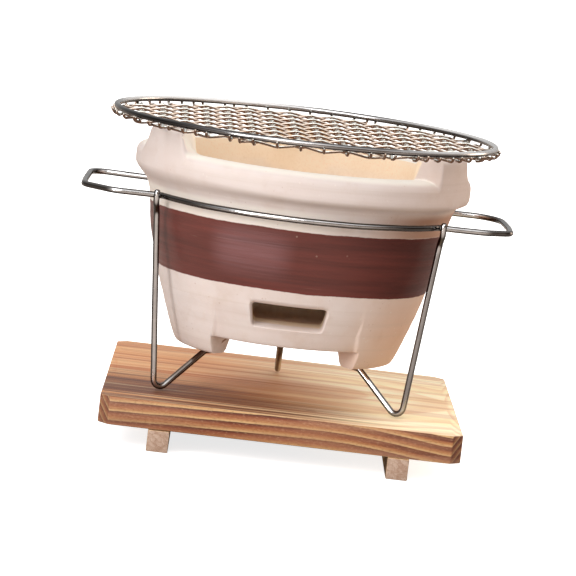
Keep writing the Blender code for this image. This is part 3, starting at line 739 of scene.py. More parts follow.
def broad_face(g, at, late_wood):
    """Brown at the left to pale honey at the right, partly the wood's tone and partly painted
    shade and light, with long streaks that gather towards the front."""
    x_mm, y_mm, xyz = at.x_mm, at.y_mm, at.xyz

    def by_side(right, left):
        return x_mm.step(55.0, -45.0, low=right, high=left)

    wide = g.grain(xyz, (3.0, 36.0, 0.0), detail=2.0, rough=0.5, shifts=(0.0, 4.0, 0.0))
    streak = g.grain(xyz, (2.4, 190.0, 0.0), detail=4.0, rough=0.6, shifts=(9.0, 0.0, 0.0))
    band = g.grain(xyz, (1.6, 70.0, 0.0), detail=3.0, rough=0.55, shifts=(3.0, 7.0, 0.0))
    thin = g.grain(xyz, (3.4, 430.0, 0.0), detail=3.0, rough=0.6, shifts=(1.0, 0.0, 2.0))
    front = (y_mm + g.math("MAXIMUM", x_mm + 60.0, 0.0) * 0.50).step(12.0, -50.0)
    left = x_mm.step(64.0, -24.0)
    # ground colour from brown at the left to pale at the right, partly painted shade and light;
    # wide pale bands, late wood, honey-brown bands
    face = g.mix(srgb(216, 152, 98), srgb(255, 236, 190), x_mm.step(-45.0, 50.0))
    pale = g.mix(srgb(242, 198, 146), srgb(255, 248, 220), x_mm.step(-45.0, 50.0))
    face = face.tint(pale, wide.step(0.45, 0.58) * by_side(right=0.55, left=0.50))
    face = face.tint(srgb(214, 136, 78), late_wood * g.mix_number(0.34, 0.36, front))
    face = face.tint(srgb(188, 110, 60), band.step(0.49, 0.58) * by_side(right=0.30, left=0.74))
    # dark bands and streaks at the front left
    face = face.tint(srgb(112, 66, 42), front * left * band.step(0.34, 0.52), amount=0.88)
    face = face.tint(srgb(98, 58, 38),
                     streak.step(0.50, 0.60) * (front * left * 0.95 + front * 0.24))
    # brown verge along the front, charred look at its left end
    verge = abs(y_mm + 59.0).step(21.0, 9.0) * x_mm.step(62.0, 18.0)
    verge = verge * at.coarse_fibre.step(0.62, 0.46, low=0.55)
    face = face.tint(srgb(112, 60, 34), verge, amount=0.70)
    char = abs(y_mm + 47.0).step(27.0, 11.0) * x_mm.step(-18.0, -62.0)
    face = face.tint(srgb(98, 62, 44), char * wide.step(0.34, 0.52), amount=0.48)
    # thin dark lines, streaks along the rear edge, pale fibres
    lines = thin.step(0.54, 0.61) * (front * 0.72 + 0.18)
    face = face.tint(srgb(92, 54, 36), lines * by_side(right=0.42, left=1.0))
    rear = y_mm.step(52.0, 84.0) * streak.step(0.44, 0.56)
    face = face.tint(srgb(160, 104, 72), rear, amount=0.42)
    face = face.tint(srgb(255, 228, 184), at.coarse_fibre.step(0.50, 0.34), amount=0.30)
    # a small dark nick near the front, five times as long as it is wide
    nick_x, nick_y = 14.0, -66.0
    nick = g.length((x_mm - nick_x) * 0.20, y_mm - nick_y)
    return face.tint(srgb(70, 40, 28), nick.step(0.9, 0.3), amount=0.85)


def board_material():
    """Flat-sawn pine, grain along X.  The growth rings crown over the middle of
    the board, so every face shows its own cut through them."""
    material, g = new_material("flat_sawn_board")
    at = board_fields(g)
    normal_x, normal_y, normal_z = g.normal()
    level = abs(normal_z).step(0.55, 0.85)
    late_wood = at.ring.step(0.25, 0.85) * at.ring.step(0.97, 0.90)
    colour = sawn_edge(g, at, normal_x, normal_y).tint(broad_face(g, at, late_wood), level)
    colour = colour.tint(srgb(150, 96, 62), at.fibre.step(0.46, 0.74), amount=0.24)
    pore = g.grain(at.xyz, (90.0, 2400.0, 2400.0), detail=2.0).step(0.64, 0.74)
    colour = colour.tint(srgb(98, 58, 38), pore, amount=0.38)
    relief = late_wood * -0.7 + (at.fibre * 0.8 + pore * -0.8)
    # painted light: a faint glow brightens the right part of the broad faces
    g.shade({
        "Base Color": colour, "Emission Color": colour,
        "Emission Strength": level * at.x_mm.step(-10.0, 60.0) * 0.10,
        "Roughness": 0.52 + (at.fibre - 0.5) * 0.25,
        "Specular IOR Level": 0.35,
        "Normal": g.bump(relief, strength=0.32, distance=0.0005)})
    return material


def strip_material():
    """Sawn softwood strips: end grain at the ends, grain along Y."""
    material, g = new_material("sawn_strip_wood")
    xyz = x, y, z = g.split(g.coord())
    normal_x, normal_y, _ = g.normal()
    end = abs(normal_y).step(0.6, 0.9)
    warp = (g.grain(xyz, (150.0, 8.0, 150.0)) - 0.5) * 4.5
    depth = (x * 520.0 + z * 760.0) + warp       # slanting growth rings
    ring_width = 2.1
    ring = g.ramp(g.math("FRACT", (depth + 500.0) / ring_width),
                  [(0.0, (0, 0, 0)), (0.55, (0.4, 0.4, 0.4)), (0.86, (1, 1, 1)),
                   (1.0, (0, 0, 0))])
    fibre = g.grain(xyz, (1500.0, 40.0, 1500.0), detail=4.0, rough=0.7)
    pit = g.grain(xyz, (1500.0, 300.0, 1500.0), detail=4.0, rough=0.75)
    crumb = g.grain(xyz, (420.0, 60.0, 420.0), detail=3.0, rough=0.7)
    side = g.mix(srgb(222, 188, 146), srgb(190, 144, 102), ring * 0.6)
    side = side.tint(srgb(166, 118, 82), fibre.step(0.5, 0.75), amount=0.4)
    # painted shadow: long sides darken towards the front
    front = BOARD_LO.y * MM
    dark = y.step(front + 0.045, front + 0.012) * abs(normal_x).step(0.6, 0.9)
    side = side.tint(srgb(62, 42, 32), dark, amount=0.82)
    cross_cut = g.mix(srgb(214, 188, 168), srgb(176, 140, 116), ring * 0.55)
    cross_cut = cross_cut.tint(srgb(172, 134, 110), crumb.step(0.40, 0.66), amount=0.60)
    cross_cut = cross_cut.tint(srgb(120, 84, 66), pit.step(0.52, 0.70), amount=0.60)
    cross_cut = cross_cut.tint(srgb(232, 212, 196), pit.step(0.44, 0.30), amount=0.40)
    cross_cut = cross_cut.tint(srgb(96, 66, 50), where=0.20)
    g.shade({
        "Base Color": side.tint(cross_cut, end), "Roughness": 0.66,
        "Specular IOR Level": 0.25,
        "Normal": g.bump(ring * 0.6 + fibre * 0.6, strength=0.30, distance=0.0004)})
    return material


def nail_material():
    """Dull grey steel."""
    material, g = new_material("wire_nail_steel")
    cloud = g.noise(g.coord(), scale=700.0, detail=4.0, rough=0.65)
    g.shade({
        "Base Color": g.mix((0.46, 0.46, 0.47), (0.24, 0.22, 0.20), cloud.step(0.4, 0.7)),
        "Metallic": 1.0,
        "Roughness": 0.32 + (cloud - 0.5) * 0.4,
        "Normal": g.bump(cloud, strength=0.3, distance=0.0002)})
    return material


CLAY = clay_material()
GRATE = grate_material()
STEEL = wire_material("bright_plated_wire", tint=(0.93, 0.92, 0.92), rough=0.14,
                      edge=(0.0, 0.29, 0.085), shaded_stand=True)
RIM = wire_material("bright_rim_wire", tint=(0.88, 0.86, 0.86), rough=0.13,
                    edge=(0.015, 0.34, 0.06), rim_reflection_paint=True)
NET_CROSS = wire_material("fine_net_wire", tint=(0.96, 0.92, 0.83), rough=0.20,
                          edge=(-0.05, 0.80, 0.19), net=True)
NET_LONG = wire_material("fine_net_wire_long", tint=(0.93, 0.90, 0.82), rough=0.20,
                         edge=(0.25, 0.97, 0.17), net=True)
BEAD = wire_material("weld_bead", tint=(0.40, 0.39, 0.38), rough=0.30, edge=(0.1, 0.7, 0.06))
WOOD = board_material()
STRIP = strip_material()
NAIL = nail_material()

# ---------------------------------------------------------------------- fire bowl
# underside from the outside down, across and up inside, (radius, z):
# through a foot, and point for point through an arch between feet
FOOT_PROFILE = (
    (60.6, 64.0), (59.0, 59.6), (57.6, 55.8), (57.0, 54.0), (55.9, 51.6), (54.9, 49.2),
    (54.0, 47.6), (53.4, 46.95), (52.4, FOOT_Z), (49.2, FOOT_Z), (45.7, FOOT_Z),
    (44.5, 46.85), (FOOT_IN_R + 2.0, 47.9), (42.6, 51.0), (41.4, 54.3), (39.7, 56.1),
    (37.0, 57.0), (30.0, 57.0))
ARCH_PROFILE = (
    (60.6, 64.0), (59.3, 60.4), (58.2, 57.4), (57.7, 56.2), (57.2, 55.62), (56.4, 55.4),
    (55.6, ARCH_Z), (54.6, ARCH_Z), (52.4, ARCH_Z), (48.0, ARCH_Z), (43.2, ARCH_Z),
    (42.2, ARCH_Z), (41.6, 55.42), (41.0, 55.6), (40.4, 55.95), (39.2, 56.6),
    (37.0, 57.0), (30.0, 57.0))
# outer wall upwards, (z, radius): with a soft step to the collar, and a crisp one
OUTER = ((64.0, 60.6), (73.5, 63.8), (83.6, 66.6), (93.0, 69.3), (102.0, 71.5),
         (110.0, 72.6), (118.0, 73.7), (121.5, 74.7), (124.6, 76.3),
         (127.3, 78.6), (129.6, 80.7), (131.6, 82.0), (133.2, COLLAR_R))
OUTER_CRISP = OUTER[:7] + ((121.5, 74.6), (124.2, 75.5), (126.3, 76.7),
                           (128.0, 79.3), (129.2, 81.6), (130.6, COLLAR_R))
# over the rim inwards, (z, radius): between the lugs, and point for point on a lug
RIM_LOW = ((136.6, COLLAR_R), (138.6, 81.8), (140.0, 80.7), (141.1, 78.6),
           (RIM_Z, 74.8), (RIM_Z, 70.0), (RIM_Z - 0.5, 68.0), (RIM_Z - 2.0, BORE_R1))
RIM_LUG = ((138.5, COLLAR_R), (145.5, 81.7), (150.9, 81.1), (152.2, 80.3),
           (LUG_Z, 78.9), (LUG_Z, 69.2), (LUG_Z - 0.6, 67.9), (LUG_Z - 2.0, BORE_R1))
# chamber wall downwards, past the grate's ledge, to the floor, (z, radius)
BORE = ((124.0, 64.6), (106.2, 60.1), (92.0, 57.3), (81.2, 55.1), (LEDGE_Z, 54.2),
        (LEDGE_Z, 49.6), (LEDGE_Z - 0.9, LEDGE_R), (72.0, 47.8), (FLOOR_Z + 1.6, 46.6),
        (FLOOR_Z, 44.6), (FLOOR_Z, 24.0))
# how each lug ends, before and after its middle: half width and run-out in
# degrees at the collar, then at the bore
LUG_ENDS = {210.0: ((10.5, 9.0, 10.5, 9.0), (9.8, 5.5, 3.7, 4.6)),
            330.0: ((9.2, 2.2, 11.6, 1.7), (10.5, 9.0, 10.5, 9.0)),
            90.0: ((10.5, 6.0, 10.5, 6.0), (10.5, 6.0, 10.5, 6.0))}
UNDERSIDE_Z = 57.0


def apart(a, b):
    return abs((a - b + 180.0) % 360.0 - 180.0)


def lug_share(azimuth, depth):
    """1 on a lug, 0 between lugs; depth is 0 at the collar and 1 at the bore."""
    leg = min(LEG_AZIMUTHS, key=lambda a: apart(azimuth, a + LUG_PHASE))
    offset = (azimuth - leg - LUG_PHASE + 180.0) % 360.0 - 180.0
    half0, out0, half1, out1 = LUG_ENDS[leg][1 if offset > 0 else 0]
    half = half0 + (half1 - half0) * depth
    run_out = out0 + (out1 - out0) * depth
    t = (abs(offset) - half) / run_out
    soft = 0.55 / run_out
    if t <= -soft:
        return 1.0
    if t < soft:                        # eased upper arris
        k = (t + soft) / (2 * soft)
        return 1.0 - (1.0 - (1.0 - soft) ** 2.3) * k * k
    return max(0.0, 1.0 - t) ** 2.3


def foot_share(azimuth, soft=1.3, widening=0.0):
    """1 on a foot, 0 on an arch; widening extends a foot's front side, degrees."""
    leg = min(LEG_AZIMUTHS, key=lambda a: apart(azimuth, a))
    toward_front = apart(azimuth, 270.0) < apart(leg, 270.0)
    offset = apart(azimuth, leg) - (widening if toward_front else 0.0)
    return 1.0 - smooth01((offset - FOOT_HALF + soft * 0.25) / soft)


def surface_noise(azimuth, z):
    """Hand-thrown unevenness, mm."""
    a = math.radians(azimuth)
    return (0.16 * math.sin(3 * a + 0.8 + z * 0.021) + 0.12 * math.sin(5 * a + 2.1 - z * 0.034)
            + 0.07 * math.sin(11 * a + z * 0.05) + 0.05 * math.sin(17 * a + 1.3 + z * 0.11)
            + 0.05 * math.sin(z * 0.9 + 2.0 * math.sin(a)))


def bowl_azimuths():
    """Even columns, with extra ones at the ends of feet and lugs."""
    azimuths = [i * 1.25 for i in range(288)]
    for leg in LEG_AZIMUTHS:
        for d in np.arange(FOOT_HALF - 1.0, FOOT_HALF + 6.9, 0.3):
            azimuths += [float((leg + d) % 360), float((leg - d) % 360)]
        for (half0, out0, half1, out1), sign in zip(LUG_ENDS[leg], (-1, 1)):
            first = min(half0, half1) - 1.0
            last = max(half0 + out0, half1 + out1) + 0.4
            for d in np.arange(first, last, 0.32):
                azimuths.append(float((leg + LUG_PHASE + sign * d) % 360))
    azimuths.sort()
    keep = [azimuths[0]]
    for a in azimuths[1:]:
        if a - keep[-1] > 0.19:
            keep.append(a)
    return keep


def low_share(z):
    """1 at the bottom of the outer wall, fading to 0 at the top of the feet's flanks."""
    return max(0.0, min(1.0, (76.0 - z) / 22.0))


def bowl_column(azimuth):
    """Control points (radius, z) of the bowl's section, from underneath, up the
    outside, over the rim and down to the chamber floor."""
    foot = foot_share(azimuth)
    foot_body = foot_share(azimuth, 2.6, 4.6)
    crisp = smooth01((95.0 - apart(azimuth, 310.0)) / 60.0)
    low = []
    for i, ((r0, z0), (r1, z1)) in enumerate(zip(FOOT_PROFILE, ARCH_PROFILE)):
        outer_part = low_share(z1) if i < 8 else max(0.0, 1.0 - (i - 8) / 2.0)
        # the foot's raised flank stands upright, so it widens towards the top
        flank = max(foot, foot_share(azimuth, 1.6, 4.6 * smooth01((z1 - 45.0) / 24.0)))
        low.append((r1 + (r0 - r1) * foot - FOOT_PROUD * outer_part * (1.0 - flank),
                    z1 + (z0 - z1) * foot))
    rows = low[::-1]
    for (z, r), (z_crisp, r_crisp) in zip(OUTER[1:], OUTER_CRISP[1:]):
        z, r = z + (z_crisp - z) * crisp, r + (r_crisp - r) * crisp
        rows.append((r - FOOT_PROUD * low_share(z) * (1.0 - foot_body), z))
    for (z0, r0), (z1, r1) in zip(RIM_LOW, RIM_LUG):
        depth = (COLLAR_R - r1) / (COLLAR_R - BORE_R1)
        lug = lug_share(azimuth, max(0.0, min(1.0, depth)))
        rows.append((r0 + (r1 - r0) * lug, z0 + (z1 - z0) * lug))
    return rows + [(r, z) for z, r in BORE]


def spline(controls, spans):
    """Catmull-Rom curve with a given number of steps in each span."""
    p = [np.array(q, float) for q in controls]
    p = [2 * p[0] - p[1]] + p + [2 * p[-1] - p[-2]]
    out = []
    for a, b, c, d, count in zip(p, p[1:], p[2:], p[3:], spans):
        span = np.linalg.norm(c - b)
        slope0 = (c - a) / max(1e-6, span + np.linalg.norm(b - a)) * span
        slope1 = (d - b) / max(1e-6, np.linalg.norm(d - c) + span) * span
        for j in range(count):
            t = j / count
            out.append((2 * t ** 3 - 3 * t ** 2 + 1) * b + (t ** 3 - 2 * t ** 2 + t) * slope0
                       + (-2 * t ** 3 + 3 * t ** 2) * c + (t ** 3 - t ** 2) * slope1)
    out.append(p[-2])
    return out


def bowl_shell():
    # one column fixes the steps in each span, so that rows line up
    base = bowl_column(212.5)
    spans = [max(1, min(6, int(round(math.dist(a, b) / 1.7)))) for a, b in zip(base, base[1:])]
    verts, faces, columns = [], [], []
    for azimuth in bowl_azimuths():
        start = len(verts)
        for r, z in spline(bowl_column(azimuth), spans):
            r = r + surface_noise(azimuth, z) * (1.0 if r > 40 else 0.0)
            r = min(r, COLLAR_R)
            verts.append(polar(float(r), azimuth, float(min(z, LUG_Z))))
        columns.append(range(start, len(verts)))
    neighbours = list(zip(columns, columns[1:] + columns[:1]))
    for a, b in neighbours:
        for j in range(len(a) - 1):
            faces.append((a[j], a[j + 1], b[j + 1], b[j]))
    below = len(verts)
    verts += [Vector((0, 0, UNDERSIDE_Z)), Vector((0, 0, FLOOR_Z))]
    for a, b in neighbours:
        faces.append((a[0], b[0], below))
        faces.append((b[-1], a[-1], below + 1))
    return verts, faces


def vent_shell():
    """Rounded, slightly flared slot; its sill rises inwards to the chamber floor."""
    bottom, top = 64.6, 76.3
    half_top, half_bottom = 36.4 / 2, 33.2 / 2
    sill_slope, corner_r = 0.17, 1.5
    # (depth behind the outer wall, outward growth of the outline)
    stations = ((-9.0, 2.3), (-1.6, 2.3), (-0.25, 0.95), (0.35, 0.42), (1.1, 0.08),
                (2.2, 0.0), (30.0, -0.4))
    corners = [(-half_bottom, 0, bottom), (half_bottom, 0, bottom),
               (half_top, 0, top), (-half_top, 0, top)]
    outline = resample(fillet(corners, [corner_r] * 4, 15.0, closed=True), 1.1, closed=True)
    middle = (bottom + top) / 2
    heights, radii = zip(*OUTER)
    rings = []
    for depth, growth in stations:
        ring = []
        for p in outline:
            from_middle = p.z - middle
            away = Vector((
                math.copysign(min(1.0, abs(p.x) / (half_top - 2)) ** 4, p.x), 0,
                math.copysign(min(1.0, abs(from_middle) / (top - middle - 1.0)) ** 4,
                              from_middle)))
            if away.length > 1:
                away.normalize()
            x, z = p.x + away.x * growth, p.z + away.z * growth
            wall_r = float(np.interp(p.z, heights, radii))
            wall_y = -math.sqrt(max(1.0, wall_r ** 2 - p.x ** 2)) + 0.9
            y = wall_y + depth
            if p.z < middle:
                z += sill_slope * (y - wall_y) * smooth01((middle - p.z) / (middle - bottom))
            ring.append(Vector((x, y, z)))
        rings.append(ring)
    return capped(rings)


bowl = make("clay_fire_bowl", bowl_shell(), CLAY, "bowl", "fire_bowl", 48)
cut(bowl, vent_shell(), "vent_cutter")
soften(bowl, 48)


# ----------------------------------------------------------------- charcoal grate
def grate_shell():
    """Clay plate with an eased, slightly wavy rim."""
    r, z0, z1 = 53.9, GRATE_Z0, GRATE_Z1
    sides = 144
    profile = ((r - 1.6, z0), (r - 0.5, z0 + 0.4), (r, z0 + 1.4), (r + 0.8, z1 - 1.4),
               (r + 0.5, z1 - 0.5), (r - 0.6, z1))
    verts = [Vector((0, 0, z0))]
    rings = []
    for r, z in profile:
        rings.append(range(len(verts), len(verts) + sides))
        for j in range(sides):
            azimuth = 360.0 * j / sides
            wave = 0.12 * math.sin(math.radians(azimuth * 5) + z)
            verts.append(polar(r - 0.12 + wave * 0.5, azimuth, z))
    top = len(verts)
    verts.append(Vector((0, 0, z1)))
    first, last = rings[0], rings[-1]
    faces = [(0, first[(j + 1) % sides], first[j]) for j in range(sides)]
    for pair in zip(rings, rings[1:]):
        faces += bridge(*pair)
    faces += [(last[j], last[(j + 1) % sides], top) for j in range(sides)]
    return verts, faces


def grate_holes_shell():
    """Cutters for the dished holes: one in the middle and two circles."""
    hole_r = 3.6
    profile = ((hole_r + 2.4, GRATE_Z0 - 1.2), (hole_r + 0.35, GRATE_Z0 + 0.35),
               (hole_r, GRATE_Z0 + 1.1), (hole_r, GRATE_Z1 - 1.1),
               (hole_r + 0.35, GRATE_Z1 - 0.35), (hole_r + 2.4, GRATE_Z1 + 1.2))
    verts, faces = [], []
    for circle_r, phase, count in ((0.0, 0.0, 1), (17.5, 0.0, 6), (37.5, 15.0, 12)):
        for i in range(count):
            centre = polar(circle_r, phase + 360.0 * i / count)
            points, quads = turned(profile, centre.x, centre.y)
            faces += [tuple(v + len(verts) for v in quad) for quad in quads]
            verts += points
    return verts, faces


grate = make("perforated_grate", grate_shell(), GRATE, "grate", "charcoal_grate",
             50)
cut(grate, grate_holes_shell(), "hole_cutters")
soften(grate, 50)

# --------------------------------------------------------------------- wire stand
lo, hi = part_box("stand_hoop")
TIP_RIGHT = (hi.x - AXIS.x) / MM - WIRE_R - 0.3
TIP_LEFT = (AXIS.x - lo.x) / MM - WIRE_R - 0.3
LEG_TOP_R = HOOP_R + 2 * WIRE_R + 0.3
# a leg's bends below its lap on the hoop, (radius, z)
LEG_BENDS = ((79.0, HOOP_Z - 8.2), (69.4, 22.35), (43.4, 44.7), (40.0, 44.7), (37.2, 49.6))
LEG_FILLETS = (0, 2.4, 5.0, 4.0, 3.5, 2.0, 0)      # two points of the lap, then the bends


def hoop_arc(start, end):
    """(point, corner radius) pairs along the hoop between two azimuths."""
    count = max(2, int(abs(end - start) / 3.0 + 0.5))
    return [(polar(HOOP_R, start + (end - start) * i / count, HOOP_Z),
             2.4 if i in (0, count) else 0) for i in range(count + 1)]


def handle(side, tip, front_y, end_y, rear_y, rear_inset, rear_fillet):
    """(point, corner radius) pairs from front to back; side is 1 right, -1 left."""
    corners = ((90.0, front_y, 9.0), (tip, end_y, 7.5), (tip + 0.3, -8.0, 24.0),
               (tip - rear_inset, rear_y, rear_fillet))
    return [((side * x, y, HOOP_Z), radius) for x, y, radius in corners]


def hoop_shell():
    """One closed wire: front arc, right handle, back arc, left handle."""
    front = math.degrees(math.asin(-HANDLE_FRONT_Y / HOOP_R))
    back = math.degrees(math.asin(HANDLE_REAR_Y / HOOP_R))
    right = handle(1, TIP_RIGHT, front_y=HANDLE_FRONT_Y + 1.2, end_y=-31.0,
                   rear_y=HANDLE_REAR_Y - 1.0, rear_inset=2.0, rear_fillet=15.0)
    left = handle(-1, TIP_LEFT + 0.8, front_y=HANDLE_FRONT_Y - 1.7, end_y=-29.0,
                  rear_y=HANDLE_REAR_Y + 3.6, rear_inset=0.6, rear_fillet=8.0)
    route = (hoop_arc(180 + front, 360 - front) + right
             + hoop_arc(back, 180 - back) + left[::-1])
    wire = resample(fillet(*zip(*route), step=6.0, closed=True), 1.25, closed=True)
    wave = wobble(5, 0.16, 46.0)
    run = 0.0
    for i, p in enumerate(wire):
        run += (p - wire[i - 1]).length if i else 0.0
        fade = min(1.0, i / 30.0, (len(wire) - 1 - i) / 30.0)
        wire[i] = p + Vector((0, 0, wave(run) * fade * 0.6))
    return tube(wire, WIRE_R, 16, closed=True)


def leg_lap(azimuth):
    """Where a leg's top and the hoop beside it meet, both at the hoop's height."""
    if azimuth == 90.0:
        return polar(LEG_TOP_R + 0.1, azimuth, HOOP_Z), polar(HOOP_R, azimuth, HOOP_Z)
    side = math.cos(math.radians(azimuth))
    lap_y = HANDLE_FRONT_Y - 2 * WIRE_R - 0.6
    return (Vector((math.copysign(69.1, side), lap_y, HOOP_Z)),
            Vector((math.copysign(67.2, side), HANDLE_FRONT_Y - 0.2, HOOP_Z)))


def leg_shell(azimuth, lap):
    spacing = 1.2
    points = [Vector((lap.x, lap.y, HOOP_Z + 1.9)), Vector((lap.x, lap.y, HOOP_Z - 3.2))]
    points += [polar(r, azimuth, z) for r, z in LEG_BENDS]
    points = resample(fillet(points, LEG_FILLETS, 6.0), spacing)
    bow = wobble(int(azimuth), 0.14, 60.0)
    last = len(points) - 1
    sideways = polar(1.0, azimuth + 90.0)
    points = [p + sideways * bow(i * spacing) * math.sin(math.pi * i / last)
              for i, p in enumerate(points)]
    return tube(points, WIRE_R, 16, up=polar(1, azimuth), domed=0.75)


def weld_shell(azimuth, lap, hoop_side):
    """Lumpy spot-weld bead between the leg's top and the hoop."""
    bm = bmesh.new()
    bmesh.ops.create_icosphere(bm, subdivisions=4, radius=1.0)
    turn = (lap - hoop_side).normalized().to_track_quat("X", "Z").to_matrix()
    middle = (hoop_side + lap) / 2
    lumps = wobble(int(azimuth) + 7, 0.10, 1.3)
    points = []
    for vert in bm.verts:
        x, y, z = vert.co
        p = Vector((x * 1.30, y * 0.95, z * 1.05))
        p *= 1.0 + lumps(x * 2 + y * 3.1) + lumps(z * 2.7)
        points.append(turn @ p + middle)
    faces = [tuple(v.index for v in face.verts) for face in bm.faces]
    bm.free()
    return points, faces


make("stand_hoop_and_handles", hoop_shell(), STEEL, "stand", "stand_hoop", 60)
for azimuth, node in zip(LEG_AZIMUTHS, ("leg_front_left", "leg_front_right", "leg_rear")):
    lap, hoop_side = leg_lap(azimuth)
    make("v_" + node, leg_shell(azimuth, lap), STEEL, "stand", node, 60)
    make("weld_" + node, weld_shell(azimuth, lap, hoop_side), BEAD, "stand", None,
         60)

# ------------------------------------------------------------------ grill and net
GRILL_CENTRE = Vector((GRILL_X, 0, 0))
NET_X = Vector((math.cos(NET_TURN), math.sin(NET_TURN), 0))
NET_Y = Vector((-math.sin(NET_TURN), math.cos(NET_TURN), 0))
NET_EDGE_R = RING_R - 0.4
HOOK = ((94.0, 154.3), (94.9, 155.05), (95.2, 156.2))    # wire ends round the rim, (r, z)


def rim_shell():
    girth = 2 * math.pi * RING_R
    count = 240
    weld_at = 0.236                     # share of the way round

    def radius(run):
        share = (run / girth) % 1.0
        weld = math.exp(-((share - weld_at) * girth / 1.6) ** 2)
        return WIRE_R - 0.03 + 0.16 * weld

    wave = wobble(11, 0.07, 90.0)
    points = []
    for i in range(count):
        lift = wave(i * 2.43) * math.sin(math.pi * i / (count - 1.0))
        points.append(polar(RING_R, 1.5 * i, RING_Z) + GRILL_CENTRE + Vector((0, 0, lift)))
    return tube(points, radius, 16, closed=True)


def net_hook(p, rnd):
    """End of a net wire bent up outside the rim, from just after point p."""
    azimuth = math.degrees(math.atan2(p.y, p.x))
    lean = rnd.uniform(-0.45, 0.45)
    lift = rnd.uniform(-0.5, 0.15)
    points = [p]
    for j, (r, z) in enumerate(HOOK):
        points.append(polar(r, azimuth + lean * j / 3.0, z + (lift if j == 2 else -0.25)))
    return fillet(points, (0, 0.7, 0.7, 0), 22.0)[1:]


def net_wire_shell(index, offset, along, across, start, sign, seed):
    half = math.sqrt(NET_EDGE_R ** 2 - offset ** 2)

    def crimp(s):
        """Straight flanks with tight crowns; away from the rim the cross wires
        take most of the crimp."""
        turns = (s - start) / NET_PITCH + index
        wave = math.asin(0.97 * math.cos(math.pi * turns)) / math.asin(0.97)
        inner = smooth01((NET_EDGE_R - math.hypot(offset, s)) / 14.0)
        height = CRIMP - sign * CRIMP_SHIFT * 1.15 * inner
        return CRIMP_SHIFT * inner + height * sign * wave

    stray = wobble(seed, 0.18, 60.0)
    steps = max(8, int(2 * half / (NET_PITCH / 7.0)))
    points = []
    for i in range(steps + 1):
        s = -half + 2 * half * i / steps
        fade = min(1.0, (half - abs(s)) / 12.0)
        points.append(across * (offset + stray(s) * fade) + along * s
                      + Vector((0, 0, NET_Z + crimp(s))))
    rnd = random.Random(seed)
    head = net_hook(points[0], rnd)
    tail = net_hook(points[-1], rnd)
    return tube([p + GRILL_CENTRE for p in head[::-1] + points + tail], NET_R, 8)


make("grill_rim", rim_shell(), RIM, "grill", "grill_rim_ring", 60)
# set, last index, own and other set's start, along, across, crimp sign, seed, material
for tag, last, own, other, along, across, sign, seed, material in (
        ("long", 7, LONG_START, CROSS_START, NET_Y, NET_X, 1, 100, NET_LONG),
        ("cross", 8, CROSS_START, LONG_START, NET_X, NET_Y, -1, 200, NET_CROSS)):
    for k in range(-8, last + 1):
        node = "net_%s_%02d" % (tag, k + 9)
        shell = net_wire_shell(k, own + k * NET_PITCH, along, across, other, sign, seed + k)
        make("woven_" + node, shell, material, "grill", node, 70)


# --------------------------------------------------------------------- wooden base
def rounded_prism(outline, z0, z1, ease, name, material, node):
    """Upright prism with softly eased edges."""
    bm = bmesh.new()
    low = [bm.verts.new((x * MM, y * MM, z0 * MM)) for x, y in outline]
    high = [bm.verts.new((x * MM, y * MM, z1 * MM)) for x, y in outline]
    bm.faces.new(low[::-1])
    bm.faces.new(high)
    for quad in bridge(low, high):
        bm.faces.new(quad)
    bmesh.ops.recalc_face_normals(bm, faces=bm.faces)
    mesh = bpy.data.meshes.new(name)
    bm.to_mesh(mesh)
    bm.free()
    mesh.materials.append(material)
    ob = link_object(name, mesh)
    bevel = ob.modifiers.new("eased", "BEVEL")
    bevel.width = ease * MM
    bevel.segments = 3
    bevel.limit_method = "ANGLE"
    bevel.angle_limit = math.radians(30)
    bake_modifiers(ob)
    register(ob, "base", node)
    return ob


def build_board():
    x0, y0, z0 = BOARD_LO
    x1, y1, z1 = BOARD_HI
    corner = 5.0                        # cut off each corner
    right, left = 1.8, 1.1              # sawn this much narrower at the rear
    outline = [(x0 + corner, y0), (x1 - corner, y0), (x1, y0 + corner),
               (x1 - right, y1 - corner), (x1 - corner - right, y1),
               (x0 + corner + left, y1), (x0 + left, y1 - corner), (x0, y0 + corner)]
    return rounded_prism(outline, z0, z1, 0.55, "chamfered_board", WOOD, "base_board")


def build_strip(tag):
    a, b = (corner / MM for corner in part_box("base_strip_" + tag))
    return rounded_prism([(a.x, a.y), (b.x, a.y), (b.x, b.y), (a.x, b.y)], a.z, b.z, 0.5,
                         "strip_" + tag, STRIP, "base_strip_" + tag)


def drive_nail(node, strip):
    """Nail driven up from below, with its holes in the strip and the board."""
    lo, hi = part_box(node)
    x, y = (lo.x + hi.x) / 2 / MM, (lo.y + hi.y) / 2 / MM
    top = hi.z / MM
    # profiles upwards, (radius, z)
    strip_hole = ((2.5, -0.6), (2.25, 0.25), (2.2, 1.7), (1.1, 3.2), (1.1, 12.0))
    board_hole = ((1.1, BOARD_LO.z - 1.0), (1.1, top + 0.6), (0.3, top + 1.4))
    nail = ((0.25, 0.55), (1.2, 0.42), (1.75, 0.42), (1.97, 0.6), (2.0, 1.0), (1.9, 1.3),
            (1.1, 2.1), (0.8, 2.7), (0.78, top - 1.6), (0.12, top - 0.05))
    cut(strip, turned(strip_hole, x, y), "strip_hole_cutter", ORIGIN)
    cut(board, turned(board_hole, x, y), "board_hole_cutter", ORIGIN)
    make("wire_" + node, turned(nail, x, y), NAIL, "base", node, 40, ORIGIN)


board = build_board()
strips = {tag: build_strip(tag) for tag in ("left", "right")}
for tag, strip in strips.items():
    for end in ("front", "rear"):
        drive_nail("nail_%s_%s" % (tag, end), strip)
for ob in (board, *strips.values()):
    soften(ob, 24)


